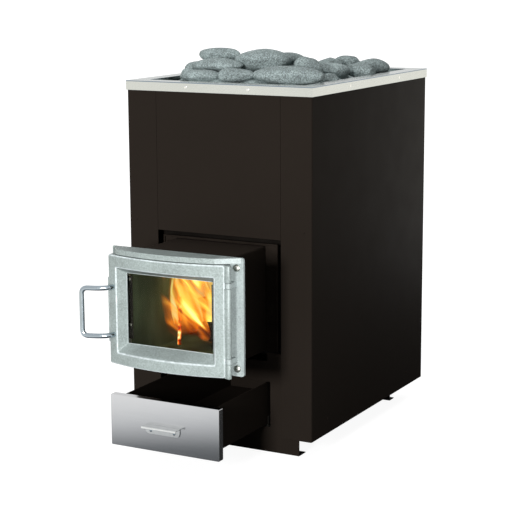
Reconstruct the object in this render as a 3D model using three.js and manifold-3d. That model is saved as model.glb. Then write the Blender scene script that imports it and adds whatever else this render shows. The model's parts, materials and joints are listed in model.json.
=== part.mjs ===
// Free-standing wood-burning sauna stove with a fire throat, a windowed cast door and an ash drawer.
// Millimetres, +Z up. The working frame has X to the right, Y into the stove from the front face
// of the casing and Z up from the floor. The finished group is centred over its own footprint.

import * as THREE from 'three';
import { mergeVertices } from 'three/addons/utils/BufferGeometryUtils.js';
import Module from 'manifold-3d';

const wasm = await Module();
wasm.setup();

// Fits
const GAP = 0.3;               // between pieces that touch
const RUNNING_GAP = 0.5;       // between pieces that turn or slide on each other

// Casing
const CASING_WIDTH = 430;
const CASING_DEPTH = 580;
const STOVE_HEIGHT = 760;      // floor to the top of the rim
const FLOOR_GAP = 36;          // floor to the lower edge of the casing
const SHEET = 2;
const BEND_RADIUS = 3.5;       // outside radius of a folded corner
const REAR_FLANGE = 24;
const PLATE_TAB = 20;          // overlap of the upper front plate behind each flange
const PLATE_RETURN = 18;       // fold at the lower edge of the upper front plate

// Rim of bright sheet
const RIM_SHEET = 1.5;
const RIM_SKIRT = 20;
const RIM_LEDGE = 35;          // width of the flat top
const RIM_LIP = 14;            // fold down into the stone box
const RIM_WRAP = 56;           // how far the front and rear strips run round the corners

// Lower front plate and feet
const RECESS = 9;              // plate behind the face of the casing
const TOE_WIDTH = 364;
const TOE_RISE = 4;            // toe above the lower edge of the casing
const SOLE = 30;
const LOWER_PLATE_DROP = 3;    // top of the plate below the throat
const NOTCH_DEPTH = 22;        // notch under the throat
const NOTCH_MARGIN = 3;
const REAR_FOOT_HEIGHT = 62;
const REAR_FOOT_FOLD = 24;

// Cast door
const DOOR_WIDTH = 268;
const DOOR_HEIGHT = 222;
const DOOR_SILL = 212;         // floor to the lower edge of the door
const DOOR_EDGE = 23;          // thickness at the left and right edges
const DOOR_BOW = 22;           // how far the front stands out in the middle
const BORDER_SIDE = 22;        // flat border left and right of the bevel
const BORDER_ENDS = 24;        // flat border above and below it
const BEVEL_SIDE = 13;
const BEVEL_TOP = 13;
const BEVEL_BOTTOM = 17;
const WINDOW_LIP = 2;          // edge of metal in front of the gasket
const WINDOW_STEP = 0.8;       // flat of that edge inside the bevel
const GLASS_OVERLAP = 6;
const GLASS_THICKNESS = 4;
const GASKET_THICKNESS = 1.5;
const STRIP_WIDTH = 14;
const STRIP_THICKNESS = 1.5;
const STRIP_MARGIN = 8;
const SEAL_WIDTH = 8;
const SEAL_DEPTH = 3.5;
const SEAL_INSET = 14;         // edge of the door to the outside of the seal
const SEAL_RADIUS = 10;
const SEAL_PROUD = 1.2;
const GRIP_PLATE = 2;          // raised stretch on the opening edge
const GRIP_PLATE_HEIGHT = 132;

// Bar handle
const HANDLE_DIAMETER = 10;
const HANDLE_SPAN = 97;
const HANDLE_RISE = 109;       // sill to the middle of the handle
const HANDLE_INSET = 14;       // edge of the door to the middle of the bar
const HANDLE_SOCKET = 7;
const HANDLE_OUT = 25;         // first bend in front of the door
const HANDLE_SWAY = 17;        // sideways run of the first stretch
const HANDLE_REACH = 35;       // sideways run of the second stretch
const HANDLE_FALL = 10;        // forward run of the second stretch
const HANDLE_BEND = 13;
const HANDLE_STEPS = 64;
const HANDLE_SIDES = 10;

// Hinge on the right of the door
const HINGE_OFFSET = 5.5;      // axis beyond the edge of the door
const BARREL_RADIUS = 5.5;
const BARREL_PROUD = 1;        // axis behind the front edge of the door
const LUG_HEIGHT = 10;
const LUG_BELOW = 29;          // sill to the lower face of the lower lug
const LUG_ABOVE = 34;          // upper face of the upper lug to the top of the door
const LUG_RISE = [LUG_BELOW, DOOR_HEIGHT - LUG_ABOVE - LUG_HEIGHT];
const NOTCH_CLEARANCE = 2;
const PIN_RADIUS = 3;
const PIN_IN_LUG = 8;
const PIN_IN_DOOR = 14;
const PIN_CLEARANCE = 0.5;

// Door frame and throat
const FRAME_THICKNESS = 6;
const FRAME_GAP = 1.5;         // door to frame
const FRAME_LEFT = 4.5;        // frame beyond the door on the left
const HINGE_STRIP = 25.5;      // frame beyond the door on the right
const FRAME_RADIUS = 5;
const BROW_HEIGHT = 10.5;
const BROW_CLEARANCE = 1.5;    // brow above the door
const BROW_SETBACK = 3;        // brow behind the front of the door
const BROW_START = 22;         // left end of the brow's bow, from the edge of the door
const BROW_BLEND = 20;
const BROW_END = 20;           // right end of the brow, from the edge of the door
const SCREW_INSET = 14.5;       // edge of the frame to the screws
const SCREW_TOP = 20;
const SCREW_BOTTOM = 15;
const SCREW_RADIUS = 3;
const SCREW_HEAD_RADIUS = 7.5;
const SCREW_HEAD_HEIGHT = 4;
const THROAT_INSET = 29;       // side of the throat inside the edge of the door
const THROAT_RISE = 3;         // bottom of the throat above the sill of the door
const THROAT_HEAD = 12;        // top of the throat below the top of the door frame
const THROAT_WALL = 4;
const THROAT_REACH = 175;      // face of the casing to the back of the door frame
const THROAT_FLANGE = 4;
const FLANGE_MARGIN = 2;       // flange inside the outline of the door frame
const COLLAR_LEG = 30;
const COLLAR_TOP = 6;
const COLLAR_LIP = 4;
const COLLAR_LIP_WIDTH = 3;
const SLOT = 10;               // air slot between the collar and the casing

// Firebox, ash chamber and smoke path
const FIREBOX_WIDTH = 300;
const FIREBOX_FRONT = 30;
const FIREBOX_WALL = 5;
const FIREBOX_HEADROOM = 56;   // above the throat
const FIREBOX_DROP = 12;       // below the throat
const THROAT_ENTRY = 13;       // throat inside the front wall
const GRATE_WIDTH = 160;
const GRATE_LENGTH = 250;
const GRATE_THICKNESS = 18;
const GRATE_SLOTS = 7;
const GRATE_SLOT_WIDTH = 10;
const GRATE_LEDGE = 12;
const ASH_WALL = 2;
const ASH_SIDE = 10;           // ash chamber beyond the drawer opening
const SMOKE_DEPTH = 85;
const SMOKE_WIDTH = 210;
const SMOKE_WALL = 3;
const SMOKE_BELOW = 95;        // smoke box below the roof of the firebox
const SMOKE_PORT_WIDTH = 150;
const SMOKE_PORT_HEIGHT = 60;
const SMOKE_PORT_DROP = 20;    // port below the roof of the firebox
const REAR_SPACE = 24;         // smoke box to the back of the casing
const FLUE_RADIUS = 57.5;
const FLUE_WALL = 3;
const FLUE_DROP = 85;          // axis of the flue below the top of the smoke box
const FLUE_REACH = 60;         // spigot beyond the back of the casing
const FLUE_COLLAR = 16;
const FLUE_COLLAR_THICKNESS = 2;

// Stone box
const BOX_INSET = 29;          // stone box inside the casing
const BOX_FRONT = 28;
const SHELF_DROP = 60;         // shelf over the smoke box below the rim
const BOX_REAR = 28;

// Ash drawer
const PANEL_WIDTH = 250;
const PANEL_HEIGHT = 105;
const PANEL_LIFT = 47;         // floor to the lower edge of the front panel
const PANEL_DEPTH = 15;
const PANEL_SHEET = 1.5;
const PANEL_RADIUS = 2;
const DRAWER_REACH = 220;      // front panel ahead of the casing, as drawn out
const DRAWER_INSET = 19;       // box inside the edge of the panel
const DRAWER_SHEET = 1.5;
const DRAWER_BASE = 11;        // floor of the box above the lower edge of the panel
const DRAWER_TOP = 2;          // top of the box below the top of the panel
const DRAWER_REAR = 22;        // room behind the closed drawer
const OPENING_SIDE = 9;        // opening beyond the side of the box
const OPENING_TOP = 2;         // opening below the top of the panel
const RUNNER_WIDTH = 18;
const RUNNER_INSET = 4;
const RUNNER_SHEET = 2;
const RUNNER_LENGTH = 440;
const PULL_WIDTH = 80;
const PULL_HEIGHT = 19;
const PULL_SHEET = 2;
const PULL_OUT = 16;
const PULL_TURN = 5;           // edge turned down at the front of the pull
const PULL_LIFT = 35;          // lower edge of the panel to the lower edge of the pull
const PULL_OFFSET = -3;
const PULL_RADIUS = 9;

// Stones: place from the middle of the stone box, length, width, thickness, turn in degrees
const STONES = [
  [-86, -210, 78, 52, 28, 10],
  [-136, -164, 46, 50, 40, 60],
  [-2, -204, 82, 56, 32, 6],
  [108, -186, 138, 84, 42, 8],
  [160, -104, 40, 40, 36, 70],
  [-146, -104, 62, 66, 52, 80],
  [-96, -20, 104, 80, 40, 30],
  [10, -4, 92, 84, 26, 110],
  [112, 4, 74, 62, 48, 10],
  [142, 76, 78, 58, 40, 0],
  [134, 156, 96, 62, 46, 70],
  [-128, 120, 90, 96, 40, 20],
  [-20, 120, 104, 80, 40, 150],
  [-96, 200, 110, 74, 36, 0],
  [70, 180, 60, 56, 42, 20],
  [-76, -158, 100, 62, 34, 8],
  [2, -96, 124, 84, 54, 16],
  [98, -76, 62, 56, 62, 40],
  [62, 104, 48, 46, 46, 60],
  [-122, -66, 88, 56, 30, 12],
  [10, -18, 88, 58, 30, 20],
];
const STONE_DETAIL = 2;
const STONE_LUMPS = 0.05;
const STONE_GAP = 0.4;         // above and below a settled stone
const STONE_SPACE = 0.8;       // beside it
const BED_DROP = 36;           // level top of the stone bed below the rim
const BED_MOUND = 14;
const BED_PITCH = 74;
const BED_PEBBLE = [52, 46, 24];
const CELL = 1;                // grid on which the stones are settled
const STONE_CLEARANCE = 1;     // stones to the walls of the stone box

// Working lines, all from the sizes above
const HALF_WIDTH = CASING_WIDTH / 2;
const PANEL_TOP = STOVE_HEIGHT - RIM_SHEET - GAP;
const DOOR_HALF = DOOR_WIDTH / 2;
const DOOR_TOP = DOOR_SILL + DOOR_HEIGHT;
const FRAME_BACK = -THROAT_REACH;
const FRAME_FACE = FRAME_BACK - FRAME_THICKNESS;
const DOOR_BACK = FRAME_FACE - FRAME_GAP;
const DOOR_EDGE_FACE = DOOR_BACK - DOOR_EDGE;
const BOW_RADIUS = (DOOR_HALF ** 2 + DOOR_BOW ** 2) / (2 * DOOR_BOW);
const BOW_CENTRE = DOOR_EDGE_FACE - DOOR_BOW + BOW_RADIUS;
const HINGE_X = DOOR_HALF + HINGE_OFFSET;
const HINGE_Y = DOOR_EDGE_FACE + BARREL_PROUD;
const FRAME_MIN_X = -DOOR_HALF - FRAME_LEFT;
const FRAME_MAX_X = DOOR_HALF + HINGE_STRIP;
const FRAME_TOP = DOOR_TOP + BROW_CLEARANCE + BROW_HEIGHT;
const THROAT_HALF = DOOR_HALF - THROAT_INSET;
const THROAT_BOTTOM = DOOR_SILL + THROAT_RISE;
const THROAT_TOP = FRAME_TOP - THROAT_HEAD;
const COLLAR_HALF = THROAT_HALF + COLLAR_LEG;
const OPENING_HALF = COLLAR_HALF + SLOT;
const OPENING_HEAD = THROAT_TOP + COLLAR_TOP + SLOT;
const LOWER_PLATE_TOP = THROAT_BOTTOM - LOWER_PLATE_DROP;
const FIREBOX_BOTTOM = THROAT_BOTTOM - FIREBOX_DROP;
const FIREBOX_TOP = THROAT_TOP + FIREBOX_HEADROOM;
const FIREBOX_BACK = CASING_DEPTH - REAR_SPACE - SMOKE_DEPTH - GAP;
const SHELF = STOVE_HEIGHT - SHELF_DROP;
const SMOKE_TOP = SHELF - SHEET - GAP;
const FLUE_HEIGHT = SMOKE_TOP - FLUE_DROP;
const BOX_HALF = HALF_WIDTH - BOX_INSET;
const PIT_HALF = HALF_WIDTH + GAP + RIM_SHEET - RIM_LEDGE;
const PIT_FRONT = RIM_LEDGE - GAP - RIM_SHEET;
const PIT_BACK = CASING_DEPTH - PIT_FRONT;
const PANEL_FACE = -DRAWER_REACH;
const DRAWER_HALF = PANEL_WIDTH / 2 - DRAWER_INSET;
const DRAWER_FLOOR = PANEL_LIFT + DRAWER_BASE;
const DRAWER_RIM = PANEL_LIFT + PANEL_HEIGHT - DRAWER_TOP;
const DRAWER_FRONT = PANEL_FACE + PANEL_SHEET + GAP;
const DRAWER_TRAVEL = DRAWER_REACH - PANEL_DEPTH + RECESS - RUNNING_GAP;
const DRAWER_BACK = FIREBOX_BACK - ASH_WALL - DRAWER_REAR - DRAWER_TRAVEL;
const DRAWER_OPENING_HALF = DRAWER_HALF + OPENING_SIDE;
const DRAWER_OPENING_TOP = PANEL_LIFT + PANEL_HEIGHT - OPENING_TOP;
const ASH_HALF = DRAWER_OPENING_HALF + ASH_SIDE;
const ASH_FLOOR = DRAWER_FLOOR - RUNNING_GAP - RUNNER_SHEET * 2 - GAP;
const PLATE_BACK = RECESS + SHEET;

// Finishes
const FINISHES = {
  paint: { color: 0x2c2522, roughness: 0.5, metalness: 0.3 },
  bright_sheet: { color: 0xc3c5c4, roughness: 0.32, metalness: 1 },
  cast_door: { color: 0xa7b0ae, roughness: 0.5, metalness: 0.85 },
  bar_steel: { color: 0x9fb0bd, roughness: 0.25, metalness: 1 },
  black_steel: { color: 0x1c1b1a, roughness: 0.7, metalness: 0.6 },
  cast_iron: { color: 0x2a2a2a, roughness: 0.75, metalness: 0.7 },
  glass: { color: 0xdfe6e2, roughness: 0.05, metalness: 0 },
  rope: { color: 0x55544e, roughness: 0.95, metalness: 0 },
  stone: { color: 0x6e7876, roughness: 0.9, metalness: 0 },
  screw: { color: 0xd0d2d0, roughness: 0.25, metalness: 1 },
};

// Outline through corners [x, y, radius], each rounded by its radius in equal steps.
function outline(corners, steps = 4) {
  return corners.flatMap(([x, y, radius = 0], i) => {
    const corner = new THREE.Vector2(x, y);
    if (radius <= 0) return [corner];
    const [beforeX, beforeY] = corners[(i + corners.length - 1) % corners.length];
    const [afterX, afterY] = corners[(i + 1) % corners.length];
    const before = new THREE.Vector2(beforeX, beforeY).sub(corner).normalize();
    const after = new THREE.Vector2(afterX, afterY).sub(corner).normalize();
    const halfAngle = Math.acos(before.dot(after)) / 2;
    const middle = before.clone().add(after).normalize();
    const centre = corner.clone().addScaledVector(middle, radius / Math.sin(halfAngle));
    const start = corner.clone().addScaledVector(before, radius / Math.tan(halfAngle)).sub(centre);
    const turn = (Math.PI - 2 * halfAngle) * Math.sign(before.clone().negate().cross(after));
    return Array.from({ length: steps + 1 }, (_, k) => start.clone()
      .rotateAround(new THREE.Vector2(), (turn * k) / steps).add(centre));
  });
}

// Outline of a rectangle, all corners with one radius.
function rectangle(x0, y0, x1, y1, radius = 0) {
  return outline([[x0, y0, radius], [x1, y0, radius], [x1, y1, radius], [x0, y1, radius]]);
}

// Outline of a circle.
function circle(x, y, radius, sides = 24) {
  return Array.from({ length: sides }, (_, k) => new THREE.Vector2(radius, 0)
    .rotateAround(new THREE.Vector2(), (2 * Math.PI * k) / sides).add(new THREE.Vector2(x, y)));
}

// Corners reflected to the left for side -1.
function mirrored(corners, side) {
  return corners.map(([x, y, radius]) => [side * x, y, radius]);
}

// Closed mesh with only positions and shared vertices.
function bare(geometry) {
  const copy = geometry.index ? geometry.toNonIndexed() : geometry.clone();
  copy.deleteAttribute('normal');
  copy.deleteAttribute('uv');
  return mergeVertices(copy, 1e-4);
}

// Outline carried along its normal, with its holes cut right through.
function extrude(points, depth, holes) {
  const raised = (outlinePoints, length) => bare(
    new THREE.ExtrudeGeometry(new THREE.Shape(outlinePoints), { depth: length, bevelEnabled: false }));
  const solid = raised(points, depth);
  if (holes.length === 0) return solid;
  return cut(solid, ...holes.map((hole) => raised(hole, depth + 2).translate(0, 0, -1)));
}

// Plan outline (x, y) raised from z0 to z1.
function prismZ(points, z0, z1, holes = []) {
  return extrude(points, z1 - z0, holes).translate(0, 0, z0);
}

// Front outline (x, z) carried back from y0 to y1.
function prismY(points, y0, y1, holes = []) {
  return extrude(points, y1 - y0, holes).rotateX(Math.PI / 2).translate(0, y1, 0);
}

// Side outline (y, z) carried across from x0 to x1.
function prismX(points, x0, x1, holes = []) {
  const turn = new THREE.Matrix4().makeBasis(
    new THREE.Vector3(0, 1, 0), new THREE.Vector3(0, 0, 1), new THREE.Vector3(1, 0, 0));
  return extrude(points, x1 - x0, holes).applyMatrix4(turn).translate(x0, 0, 0);
}

function block(x0, x1, y0, y1, z0, z1) {
  const box = new THREE.BoxGeometry(x1 - x0, y1 - y0, z1 - z0);
  return bare(box.translate((x0 + x1) / 2, (y0 + y1) / 2, (z0 + z1) / 2));
}

function toSolid(geometry) {
  const mesh = new wasm.Mesh({
    numProp: 3,
    vertProperties: Float32Array.from(geometry.attributes.position.array),
    triVerts: Uint32Array.from(geometry.index.array),
  });
  return new wasm.Manifold(mesh);
}

function fromSolid(solid) {
  const mesh = solid.getMesh();
  const geometry = new THREE.BufferGeometry();
  geometry.setAttribute('position', new THREE.Float32BufferAttribute(mesh.vertProperties, 3));
  geometry.setIndex(Array.from(mesh.triVerts));
  return geometry;
}

function join(first, ...others) {
  return fromSolid(others.reduce((solid, other) => solid.add(toSolid(other)), toSolid(first)));
}

function cut(first, ...tools) {
  return fromSolid(tools.reduce((solid, tool) => solid.subtract(toSolid(tool)), toSolid(first)));
}

// Solid between two rings that each run along one edge and back along the other, point against point.
function loft(ringA, ringB) {
  const count = ringA.length;
  const faces = [];
  for (let i = 0; i < count; i += 1) {
    const next = (i + 1) % count;
    faces.push(i, next, count + i, next, count + next, count + i);
  }
  for (let i = 0; i < count / 2 - 1; i += 1) {
    const [far, farNext] = [count - 1 - i, count - 2 - i];
    faces.push(i, far, i + 1, far, farNext, i + 1);
    faces.push(count + i, count + i + 1, count + far, count + far, count + i + 1, count + farNext);
  }
  const geometry = new THREE.BufferGeometry().setFromPoints([...ringA, ...ringB]);
  geometry.setIndex(faces);
  return geometry;
}

// Casing

// Side of the casing: one folded sheet with a wide front flange and a narrow rear flange.
function sidePanel(side) {
  const inner = HALF_WIDTH - SHEET;
  const insideRadius = Math.max(BEND_RADIUS - SHEET, 0);
  const corners = [
    [OPENING_HALF, 0],
    [HALF_WIDTH, 0, BEND_RADIUS],
    [HALF_WIDTH, CASING_DEPTH, BEND_RADIUS],
    [HALF_WIDTH - REAR_FLANGE, CASING_DEPTH],
    [HALF_WIDTH - REAR_FLANGE, CASING_DEPTH - SHEET],
    [inner, CASING_DEPTH - SHEET, insideRadius],
    [inner, SHEET, insideRadius],
    [OPENING_HALF, SHEET],
  ];
  return prismZ(outline(mirrored(corners, side)), FLOOR_GAP, PANEL_TOP);
}

// Plate over the throat, flush with the flanges and tabbed behind them, folded back at its lower edge.
function upperFrontPlate() {
  const edge = OPENING_HALF - GAP;
  const tab = OPENING_HALF + PLATE_TAB;
  const root = OPENING_HALF - PLATE_TAB;
  const tabFront = SHEET + GAP;
  const tabBack = tabFront + SHEET;
  const right = [[edge, 0], [edge, tabFront], [tab, tabFront], [tab, tabBack], [root, tabBack], [root, SHEET]];
  const plan = outline([...right, ...mirrored(right, -1).reverse()]);
  return join(
    prismZ(plan, OPENING_HEAD, PANEL_TOP),
    block(-root, root, SHEET / 2, PLATE_RETURN, OPENING_HEAD, OPENING_HEAD + SHEET),
  );
}

// Recessed plate round the ash drawer. Its foot widens into a toe with a folded sole.
function lowerFrontPlate() {
  const toe = TOE_WIDTH / 2;
  const notch = THROAT_HALF + NOTCH_MARGIN;
  const notchFloor = THROAT_BOTTOM - NOTCH_DEPTH;
  const toeTop = FLOOR_GAP + TOE_RISE;
  const face = outline([
    [-toe, 0], [toe, 0], [toe, LOWER_PLATE_TOP], [notch, LOWER_PLATE_TOP], [notch, notchFloor],
    [-notch, notchFloor], [-notch, LOWER_PLATE_TOP], [-COLLAR_HALF, LOWER_PLATE_TOP],
    [-COLLAR_HALF, toeTop], [-toe, toeTop],
  ]);
  const opening = rectangle(-DRAWER_OPENING_HALF, ASH_FLOOR, DRAWER_OPENING_HALF, DRAWER_OPENING_TOP);
  return join(
    prismY(face, RECESS, PLATE_BACK, [opening]),
    block(-toe, toe, RECESS, RECESS + SOLE, 0, SHEET),
    block(toe - SHEET, toe, SHEET + GAP, PLATE_BACK, toeTop, LOWER_PLATE_TOP),
  );
}

// Sheet inside the rear flanges with a round hole for the flue.
function backPanel() {
  const edge = HALF_WIDTH - Math.max(BEND_RADIUS, SHEET + GAP);
  const back = CASING_DEPTH - SHEET - GAP;
  const hole = circle(0, FLUE_HEIGHT, FLUE_RADIUS + GAP, 32);
  return prismY(rectangle(-edge, FLOOR_GAP, edge, PANEL_TOP), back - SHEET, back, [hole]);
}

// Rear foot: a plate like the toe at the front, folded at the floor and under the ash chamber.
function rearFootPlate() {
  const toe = TOE_WIDTH / 2;
  const wing = HALF_WIDTH - SHEET - GAP;
  const front = FIREBOX_BACK + GAP;
  const face = outline([
    [-toe, 0], [toe, 0], [toe, FLOOR_GAP + TOE_RISE], [wing, FLOOR_GAP + TOE_RISE],
    [wing, REAR_FOOT_HEIGHT], [-wing, REAR_FOOT_HEIGHT], [-wing, FLOOR_GAP + TOE_RISE],
    [-toe, FLOOR_GAP + TOE_RISE],
  ]);
  return join(
    prismY(face, front, front + SHEET),
    block(-toe, toe, front, front + REAR_FOOT_FOLD, 0, SHEET),
    block(-toe, toe, front, front + REAR_FOOT_FOLD, REAR_FOOT_HEIGHT - SHEET, REAR_FOOT_HEIGHT),
  );
}

// Rim: an angle of bright sheet with a skirt outside, a flat top and a lip turned into the stone box.

const RIM_OUTER = HALF_WIDTH + GAP + RIM_SHEET;
const RIM_BACK = CASING_DEPTH + GAP + RIM_SHEET;
const RIM_FRONT = -GAP - RIM_SHEET;

// Band between two rectangles of the rim, kept to y0..y1, in front, behind or at one side.
function rimBand(outside, inside, y0, y1, side) {
  const left = side > 0 ? inside : -outside;
  const right = side < 0 ? -inside : outside;
  const setIn = RIM_OUTER - inside;
  const band = block(left, right, y0, y1, 0, 1);
  const hollow = block(-inside, inside, RIM_FRONT + setIn, RIM_BACK - setIn, -1, 2);
  return cut(band, hollow);
}

function rimStrip(y0, y1, side) {
  const skirt = rimBand(RIM_OUTER, RIM_OUTER - RIM_SHEET, y0, y1, side);
  const ledge = rimBand(RIM_OUTER, RIM_OUTER - RIM_LEDGE, y0, y1, side);
  const lipLine = cut(
    rimBand(RIM_OUTER, RIM_OUTER - RIM_LEDGE, y0, y1, side),
    ringInside(RIM_OUTER - RIM_LEDGE + RIM_SHEET),
  );
  const ledgeFloor = STOVE_HEIGHT - RIM_SHEET;
  return join(
    stretchZ(ledge, ledgeFloor, STOVE_HEIGHT),
    stretchZ(skirt, STOVE_HEIGHT - RIM_SKIRT, STOVE_HEIGHT),
    stretchZ(lipLine, STOVE_HEIGHT - RIM_LIP, STOVE_HEIGHT),
  );
}

// Everything of the rim outside the rectangle whose half width is given.
function ringInside(half) {
  const setIn = RIM_OUTER - half;
  const all = block(-RIM_OUTER - 1, RIM_OUTER + 1, RIM_FRONT - 1, RIM_BACK + 1, -1, 2);
  return cut(all, block(-half, half, RIM_FRONT + setIn, RIM_BACK - setIn, -2, 3));
}

// A band of unit height set between two levels.
function stretchZ(geometry, z0, z1) {
  return geometry.scale(1, 1, z1 - z0).translate(0, 0, z0);
}

// Fire throat

// Square tube from the door frame into the firebox, with a flange behind the frame.
function fireThroat() {
  const front = FRAME_BACK + GAP;
  const inner = THROAT_HALF - THROAT_WALL;
  const outer = rectangle(-THROAT_HALF, THROAT_BOTTOM, THROAT_HALF, THROAT_TOP, THROAT_WALL);
  const bore = rectangle(-inner, THROAT_BOTTOM + THROAT_WALL, inner, THROAT_TOP - THROAT_WALL);
  const flange = rectangle(
    FRAME_MIN_X + FLANGE_MARGIN, DOOR_SILL + FLANGE_MARGIN,
    FRAME_MAX_X - FLANGE_MARGIN, FRAME_TOP - FLANGE_MARGIN, FRAME_RADIUS);
  const holes = screwPlaces().map(([x, z]) => circle(x, z, SCREW_RADIUS + GAP, 12));
  return join(
    prismY(outer, front, FIREBOX_FRONT + FIREBOX_WALL + THROAT_ENTRY, [bore]),
    prismY(flange, front, front + THROAT_FLANGE, [bore, ...holes]),
  );
}

// Plate over the top and sides of the throat where it enters the casing, edged by a raised lip.
function throatCollar() {
  const inner = THROAT_HALF + GAP;
  const top = THROAT_TOP + COLLAR_TOP;
  const bottom = LOWER_PLATE_TOP + LOWER_PLATE_DROP;
  const lip = COLLAR_HALF - COLLAR_LIP_WIDTH;
  const arch = (half, head) => outline([
    [COLLAR_HALF, bottom], [COLLAR_HALF, top], [-COLLAR_HALF, top], [-COLLAR_HALF, bottom],
    [-half, bottom], [-half, head], [half, head], [half, bottom],
  ]);
  return join(
    prismY(arch(inner, THROAT_TOP + GAP), RECESS, PLATE_BACK),
    prismY(arch(lip, top - COLLAR_LIP_WIDTH), RECESS - COLLAR_LIP, PLATE_BACK),
  );
}

// Door frame

function screwPlaces() {
  const x = FRAME_MAX_X - SCREW_INSET;
  return [[x, FRAME_TOP - SCREW_TOP], [x, DOOR_SILL + SCREW_BOTTOM]];
}

// Front of the door: an arc over its width.
function bowFront(x) {
  return BOW_CENTRE - Math.sqrt(BOW_RADIUS ** 2 - x ** 2);
}

// Evenly spaced points of the door's front from x0 to x1, set back by a distance.
function bowLine(x0, x1, setback, steps) {
  return Array.from({ length: steps + 1 }, (_, k) => {
    const x = x0 + ((x1 - x0) * k) / steps;
    return new THREE.Vector2(x, bowFront(x) + setback);
  });
}

// Ledge over the door. Its left end swings out of the frame in an S to follow the bow of the door.
function brow() {
  const start = -DOOR_HALF + BROW_START;
  const blendStart = start - BROW_BLEND;
  const end = DOOR_HALF - BROW_END;
  const full = bowFront(start) + BROW_SETBACK;
  const blend = Array.from({ length: 6 }, (_, k) => {
    const t = k / 6;
    const ease = t * t * (3 - 2 * t);
    return new THREE.Vector2(blendStart + t * BROW_BLEND, FRAME_FACE + (full - FRAME_FACE) * ease);
  });
  const root = FRAME_FACE + FRAME_THICKNESS / 2;
  const plan = [
    ...blend,
    ...bowLine(start, end, BROW_SETBACK, 14),
    new THREE.Vector2(FRAME_MAX_X - FRAME_RADIUS, FRAME_FACE),
    new THREE.Vector2(FRAME_MAX_X - FRAME_RADIUS, root),
    new THREE.Vector2(blendStart, root),
  ];
  return prismZ(plan, FRAME_TOP - BROW_HEIGHT, FRAME_TOP);
}

// Plan of a hinge lug: a round nose about the hinge axis and straight sides back to y1.
function lugPlan(radius, y1) {
  const noseRadius = radius * 0.99;
  return outline([
    [HINGE_X - radius, y1], [HINGE_X - radius, HINGE_Y - radius, noseRadius],
    [HINGE_X + radius, HINGE_Y - radius, noseRadius], [HINGE_X + radius, y1],
  ], 6);
}

// Lug that holds one hinge pin upright in front of the frame.
function hingeLug(bottom) {
  return prismZ(lugPlan(BARREL_RADIUS, FRAME_FACE + FRAME_THICKNESS / 2), bottom, bottom + LUG_HEIGHT);
}

function doorFrame() {
  const plate = outline([
    [FRAME_MIN_X, DOOR_SILL], [FRAME_MAX_X, DOOR_SILL, FRAME_RADIUS],
    [FRAME_MAX_X, FRAME_TOP, FRAME_RADIUS], [FRAME_MIN_X, FRAME_TOP],
  ]);
  const sealInner = SEAL_INSET + SEAL_WIDTH + FRAME_GAP;
  const boreHalf = THROAT_HALF - THROAT_WALL;
  const bore = rectangle(-boreHalf, DOOR_SILL + sealInner, boreHalf, DOOR_TOP - sealInner, SEAL_RADIUS);
  const holes = screwPlaces().map(([x, z]) => circle(x, z, SCREW_RADIUS + GAP, 12));
  const lugs = LUG_RISE.map((rise) => hingeLug(DOOR_SILL + rise));
  const body = join(prismY(plate, FRAME_FACE, FRAME_BACK, [bore, ...holes]), brow(), ...lugs);
  const sockets = LUG_RISE.map((rise) => {
    const top = DOOR_SILL + rise + LUG_HEIGHT;
    return prismZ(circle(HINGE_X, HINGE_Y, PIN_RADIUS + GAP, 16), top - PIN_IN_LUG, top + 1);
  });
  return cut(body, ...sockets);
}

// Screw with a domed head, revolved about its own axis and turned to face forward.
function frameScrew([x, z]) {
  const profile = [new THREE.Vector2(0, -FRAME_THICKNESS - THROAT_FLANGE)];
  profile.push(new THREE.Vector2(SCREW_RADIUS, -FRAME_THICKNESS - THROAT_FLANGE));
  profile.push(new THREE.Vector2(SCREW_RADIUS, GAP), new THREE.Vector2(SCREW_HEAD_RADIUS, GAP));
  for (let k = 1; k < 4; k += 1) {
    const angle = (Math.PI / 2) * (k / 4);
    profile.push(new THREE.Vector2(
      SCREW_HEAD_RADIUS * Math.cos(angle), GAP + SCREW_HEAD_HEIGHT * Math.sin(angle)));
  }
  profile.push(new THREE.Vector2(0, GAP + SCREW_HEAD_HEIGHT));
  return bare(new THREE.LatheGeometry(profile, 16)).rotateX(Math.PI).translate(x, FRAME_FACE, z);
}

function hingePin(rise) {
  const top = DOOR_SILL + rise + LUG_HEIGHT;
  return prismZ(circle(HINGE_X, HINGE_Y, PIN_RADIUS, 16), top - PIN_IN_LUG + GAP, top + PIN_IN_DOOR);
}

// Door

const SEAT = DOOR_BACK - STRIP_THICKNESS - GLASS_THICKNESS - GASKET_THICKNESS - 4 * GAP;
const WINDOW_FACE = SEAT - WINDOW_LIP;
const WINDOW_HALF = DOOR_HALF - BORDER_SIDE - BEVEL_SIDE;
const WINDOW_BOTTOM = DOOR_SILL + BORDER_ENDS + BEVEL_BOTTOM;
const WINDOW_TOP = DOOR_TOP - BORDER_ENDS - BEVEL_TOP;
const GLASS_HALF = WINDOW_HALF + GLASS_OVERLAP;
const GLASS_FRONT = SEAT + GAP + GASKET_THICKNESS + GAP;
const GLASS_BACK = GLASS_FRONT + GLASS_THICKNESS;

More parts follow.
